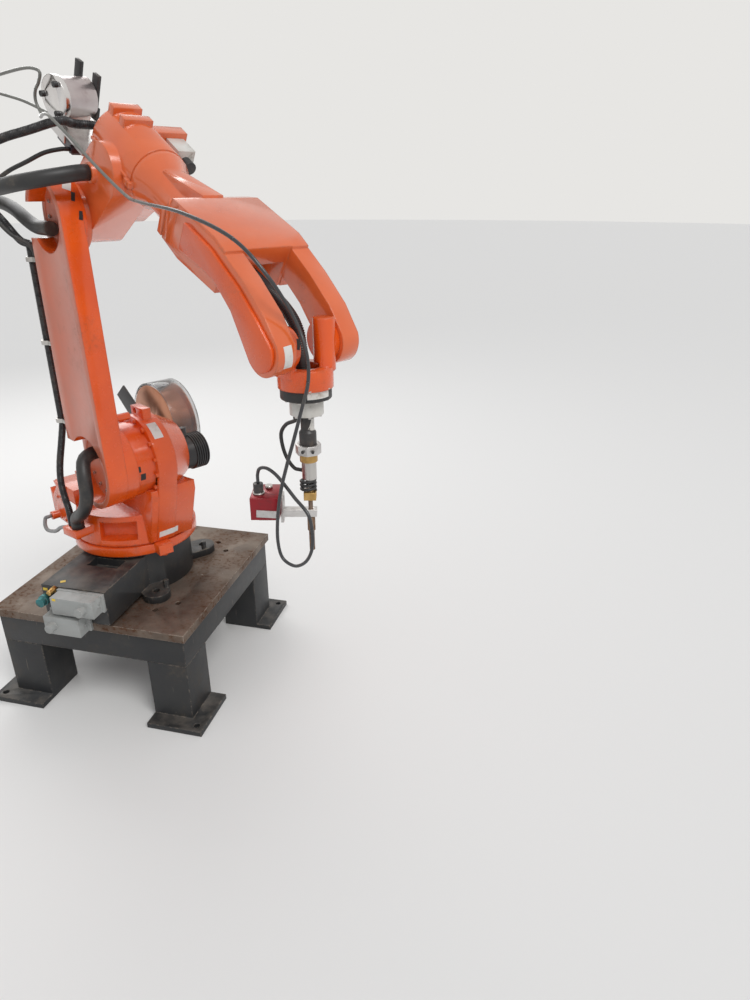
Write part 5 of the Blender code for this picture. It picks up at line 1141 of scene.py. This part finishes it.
# Where finishes change, along the axes of the links that carry them.
PLUG_FROM = 0.1535
DISC_FROM = -0.0152
DISC_TO = 0.0016
BRASS_FROM = 0.276
BRASS_TO = 0.299
SENSOR_TOP = 0.384
SENSOR_FOOT = 0.4455
SEAT = 0.0005
# Faces of the upper arm turned to its outer side take the painted sheen finish.
SHEEN_SIDE_ZONE = FacingZone(SHEEN_PAINTED_ARM_ORANGE, UPPER_ARM, 1, below=-0.8)
SHELLS: tuple[SoftShell, ...] = (
    SoftShell("stand_top_plate", MILL_STEEL, PLATE_EDGE),
    SoftShell("stand_apron", BLACK, PLATE_EDGE),
    *(SoftShell(f"stand_leg_{corner}", BLACK, PLATE_EDGE)
      for corner in ("front_left", "front_right", "back_left", "back_right")),
    SoftShell("base_casting", BLACK, CASTING_EDGE),
    SoftShell("power_connector", GREY, FITTING_EDGE),
    SoftShell("signal_connector", GREY, FITTING_EDGE),
    SoftShell("round_connector", TEAL, FITTING_EDGE),
    SoftShell("air_fitting", BRASS, FITTING_EDGE),
    SoftShell("turret_casting", ORANGE, BROAD_EDGE),
    SoftShell("turret_motor_cover", ORANGE, COVER_EDGE),
    SoftShell("shoulder_motor", BLACK_PLASTIC, CASE_EDGE),
    SoftShell("spool_bracket", BLACK, CASE_EDGE),
    SoftShell("wire_spool", COPPER, FINE_EDGE),
    SoftShell("spool_cover", CLEAR, FINE_EDGE),
    SoftShell("upper_arm_casting", ORANGE, BROAD_EDGE, (SHEEN_SIDE_ZONE, ClipZone(STEEL, UPPER_ARM, 2))),
    SoftShell("elbow_casting", SKY_SHEEN_ORANGE, CASTING_EDGE),
    SoftShell("roll_motor", WHITE, CASE_EDGE, (Zone(BLACK_PLASTIC, ELBOW, 0, above=PLUG_FROM),)),
    SoftShell("feeder_bracket", ALUMINIUM, FITTING_EDGE),
    SoftShell("feeder_drum", DRUM, CASE_EDGE, (Zone(CHROME, FEEDER, 1, DISC_FROM, DISC_TO),
                                               Zone(BLACK_PLASTIC, FEEDER, 1, below=DISC_FROM))),
    SoftShell("feeder_levers", BLACK_PLASTIC, CASE_EDGE),
    SoftShell("feeder_motor", PURPLE_BLACK, CASE_EDGE),
    SoftShell("forearm_fork", SKY_SHEEN_ORANGE, CASTING_EDGE),
    SoftShell("wrist_drive_cover", ORANGE, PLATE_EDGE),
    SoftShell("wrist_yoke", ORANGE, COVER_EDGE),
    SoftShell("tool_ring", BLACK, PLATE_EDGE),
    SoftShell("insulating_flange", WHITE, FINE_EDGE),
    SoftShell("torch_neck", BLACK_PLASTIC, FINE_EDGE),
    SoftShell("torch_clamp", ALUMINIUM, FINE_EDGE),
    SoftShell("torch_body", STEEL, FINE_EDGE, (Zone(BRASS, TOOL, 0, BRASS_FROM, BRASS_TO),)),
    SoftShell("torch_brass_block", BRASS, FINE_EDGE),
    SoftShell("torch_nozzle", SPATTERED, TIP_EDGE),
    SoftShell("sensor_bracket", ALUMINIUM, FINE_EDGE),
    SoftShell("seam_sensor", RED, FINE_EDGE, (Zone(BLACK_PLASTIC, TOOL, 0, below=SENSOR_TOP - SEAT),
                                              Zone(ALUMINIUM, TOOL, 0, above=SENSOR_FOOT))),
)

ARM_SIDE: Point = (0.0, -1.0, 0.0)
TOOL_AXIS: Point = (1.0, 0.0, 0.0)
SCREWS: tuple[ScrewRing, ...] = (
    ScrewRing("lower_opening_screws", UPPER_ARM, (0.0, -0.155, 0.0), ARM_SIDE, 0.088, 12, 0.0065, 0.006),
    ScrewRing("upper_opening_screws", UPPER_ARM, (0.0, -0.155, ARM_LENGTH), ARM_SIDE, 0.072, 10,
              0.0055, 0.005),
    ScrewRing("tool_flange_screws", TOOL, (0.130, 0.0, 0.0), TOOL_AXIS, 0.053, 8, 0.0045, 0.005),
    ScrewRing("insulator_screws", TOOL, (0.172, 0.0, 0.0), TOOL_AXIS, 0.035, 6, 0.004, 0.005),
)


@dataclass(frozen=True)
class Coil:
    """The turns of the lead that is wound round the torch's stem."""

    turns: int = 3
    steps: int = 16
    radius: float = 0.0185
    pitch: float = 0.0105
    centre: Point = (0.365, -0.004, 0.0)

    def line(self) -> list[Point]:
        """The coil's centre line, in the tool's link."""
        total = self.turns * self.steps
        points = []
        for step in range(total + 1):
            turn = math.tau * step / self.steps
            low = self.centre[0] + (step / total - 0.5) * self.turns * self.pitch
            across = self.centre[1] + math.cos(turn) * self.radius
            points.append((low, across, self.centre[2] + math.sin(turn) * self.radius))
        return points


CLAMP_MIDDLE = 0.2645
CLAMP_SCREW_SEAT = 0.020
CLAMP_SCREW_HEAD = 0.0345
FITTINGS: tuple[Fitting, ...] = (
    *(Fitting(f"torch_clamp_screw_{side}", BLACK_PLASTIC,
              [(CLAMP_MIDDLE, across, out) for out in (CLAMP_SCREW_SEAT, CLAMP_SCREW_HEAD)], 0.0038, 12)
      for side, across in (("left", -0.012), ("right", 0.014))),
    Fitting("wound_lead", RUBBER, Coil().line(), 0.0040, 10),
    *(Fitting(name, STEEL, [(SENSOR_TOP + SEAT - up, across, toward) for up in (0.0, rise)], radius, 24)
      for name, across, toward, radius, rise in (("sensor_plug_collar", -0.132, 0.016, 0.0155, 0.007),
                                                 ("sensor_spare_socket", -0.110, -0.020, 0.0095, 0.010))),
)


LABELS: tuple[Plate, ...] = (
    Plate("sensor_rail", "seam_sensor", ALUMINIUM, (0.5097, -0.4954, 0.9965), (0.237, -0.972, 0.0),
          (0.062, 0.015, 0.998), 0.054, 0.02, 0.0025),
    Plate("column_label", "turret_casting", BLANK_LABEL, (-0.0792, -0.0096, 1.0193), (0.534, -0.325, 0.781),
          (-0.667, 0.406, 0.625), 0.033, 0.064),
    Plate("skirt_label", "turret_casting", BLANK_LABEL, (-0.0922, 0.0122, 0.6246), (0.815, -0.495, -0.302),
          (0.258, -0.157, 0.953), 0.076, 0.025),
    Plate("shoulder_zero_mark_upper", "turret_casting", RECESS_SHADE_AND_MARK_DARK, (-0.1002, -0.1041, 0.9095),
          (0.853, -0.519, 0.049), (-0.042, 0.025, 0.999), 0.0137, 0.0201),
    Plate("shoulder_zero_mark_lower", "turret_casting", RECESS_SHADE_AND_MARK_DARK, (-0.0954, -0.0918, 0.8799),
          (0.829, -0.504, -0.243), (0.208, -0.126, 0.97), 0.0181, 0.024),
    Plate("elbow_label", "upper_arm_casting", BLANK_LABEL, (-0.1726, -0.1352, 1.7697),
          (0.557, -0.338, 0.759), (-0.379, 0.709, 0.594), 0.0231, 0.0342),
    Plate("elbow_zero_mark_upper", "upper_arm_casting", RECESS_SHADE_AND_MARK_DARK, (-0.1522, -0.1435, 1.7405),
          (0.76, -0.462, 0.457), (-0.19, 0.515, 0.836), 0.0106, 0.0273),
    Plate("elbow_zero_mark_lower", "upper_arm_casting", RECESS_SHADE_AND_MARK_DARK, (-0.1363, -0.1439, 1.6916),
          (0.851, -0.518, 0.087), (0.037, 0.226, 0.973), 0.0113, 0.0239),
    Plate("wrist_side_label", "forearm_fork", BLANK_LABEL, (0.6059, -0.5341, 1.4144),
          (0.842, -0.512, -0.171), (0.107, -0.152, 0.983), 0.023, 0.0528),
    Plate("wrist_zero_mark", "wrist_yoke", RECESS_SHADE_AND_MARK_DARK, (0.6163, -0.4955, 1.4375), (0.831, -0.505, 0.233),
          (-0.067, 0.325, 0.943), 0.0086, 0.0248),
    Plate("tool_ring_label", "tool_ring", BLANK_LABEL, (0.6526, -0.4648, 1.314), (0.769, -0.639, 0.0),
          (0.0, 0.0, 1.0), 0.0591, 0.0219),
    Plate("panel_label_top", "base_casting", YELLOW_LABEL, (-0.3565, -0.2565, 0.535), (0.0, 0.0, 1.0),
          (-0.581, 0.814, 0.0), 0.017, 0.013),
    Plate("panel_label_front", "base_casting", YELLOW_LABEL, (-0.4046, -0.2896, 0.5182), (0.0, -1.0, 0.0),
          (0.0, 0.0, 1.0), 0.017, 0.01),
    Plate("hood_label_left", "power_connector", YELLOW_LABEL, (-0.328, -0.3499, 0.5229), (0.0, -1.0, 0.0),
          (0.0, 0.0, 1.0), 0.013, 0.009),
    Plate("panel_label_right", "base_casting", YELLOW_LABEL, (-0.186, -0.2896, 0.5), (0.0, -1.0, 0.0),
          (0.0, 0.0, 1.0), 0.012, 0.016),
    Plate("neck_strip", "torch_neck", BLANK_LABEL, (0.621, -0.4204, 1.2238), (0.99, 0.14, 0.0),
          (-0.029, 0.205, 0.978), 0.0287, 0.0301),
)


def main() -> None:
    """Builds the scene in order."""
    logging.basicConfig(level=logging.INFO, format="%(message)s")
    for thing in list(bpy.data.objects):
        bpy.data.objects.remove(thing)
    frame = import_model()
    studio = Studio()
    studio.camera()
    SENSOR_LINE.build()
    for hose in HOSES:
        hose.build()
    studio.floor()
    studio.light()
    for shell in SHELLS:
        shell.build(frame)
    screws = ScrewTree(STEEL, RECESS_SHADE_AND_MARK_DARK)
    for ring in SCREWS:
        screws.place(ring)
    for fitting in FITTINGS:
        fitting.build()
    for label in LABELS:
        label.build(frame)
    bpy.context.scene.view_settings.view_transform = "Standard"


if __name__ == "__main__":
    main()
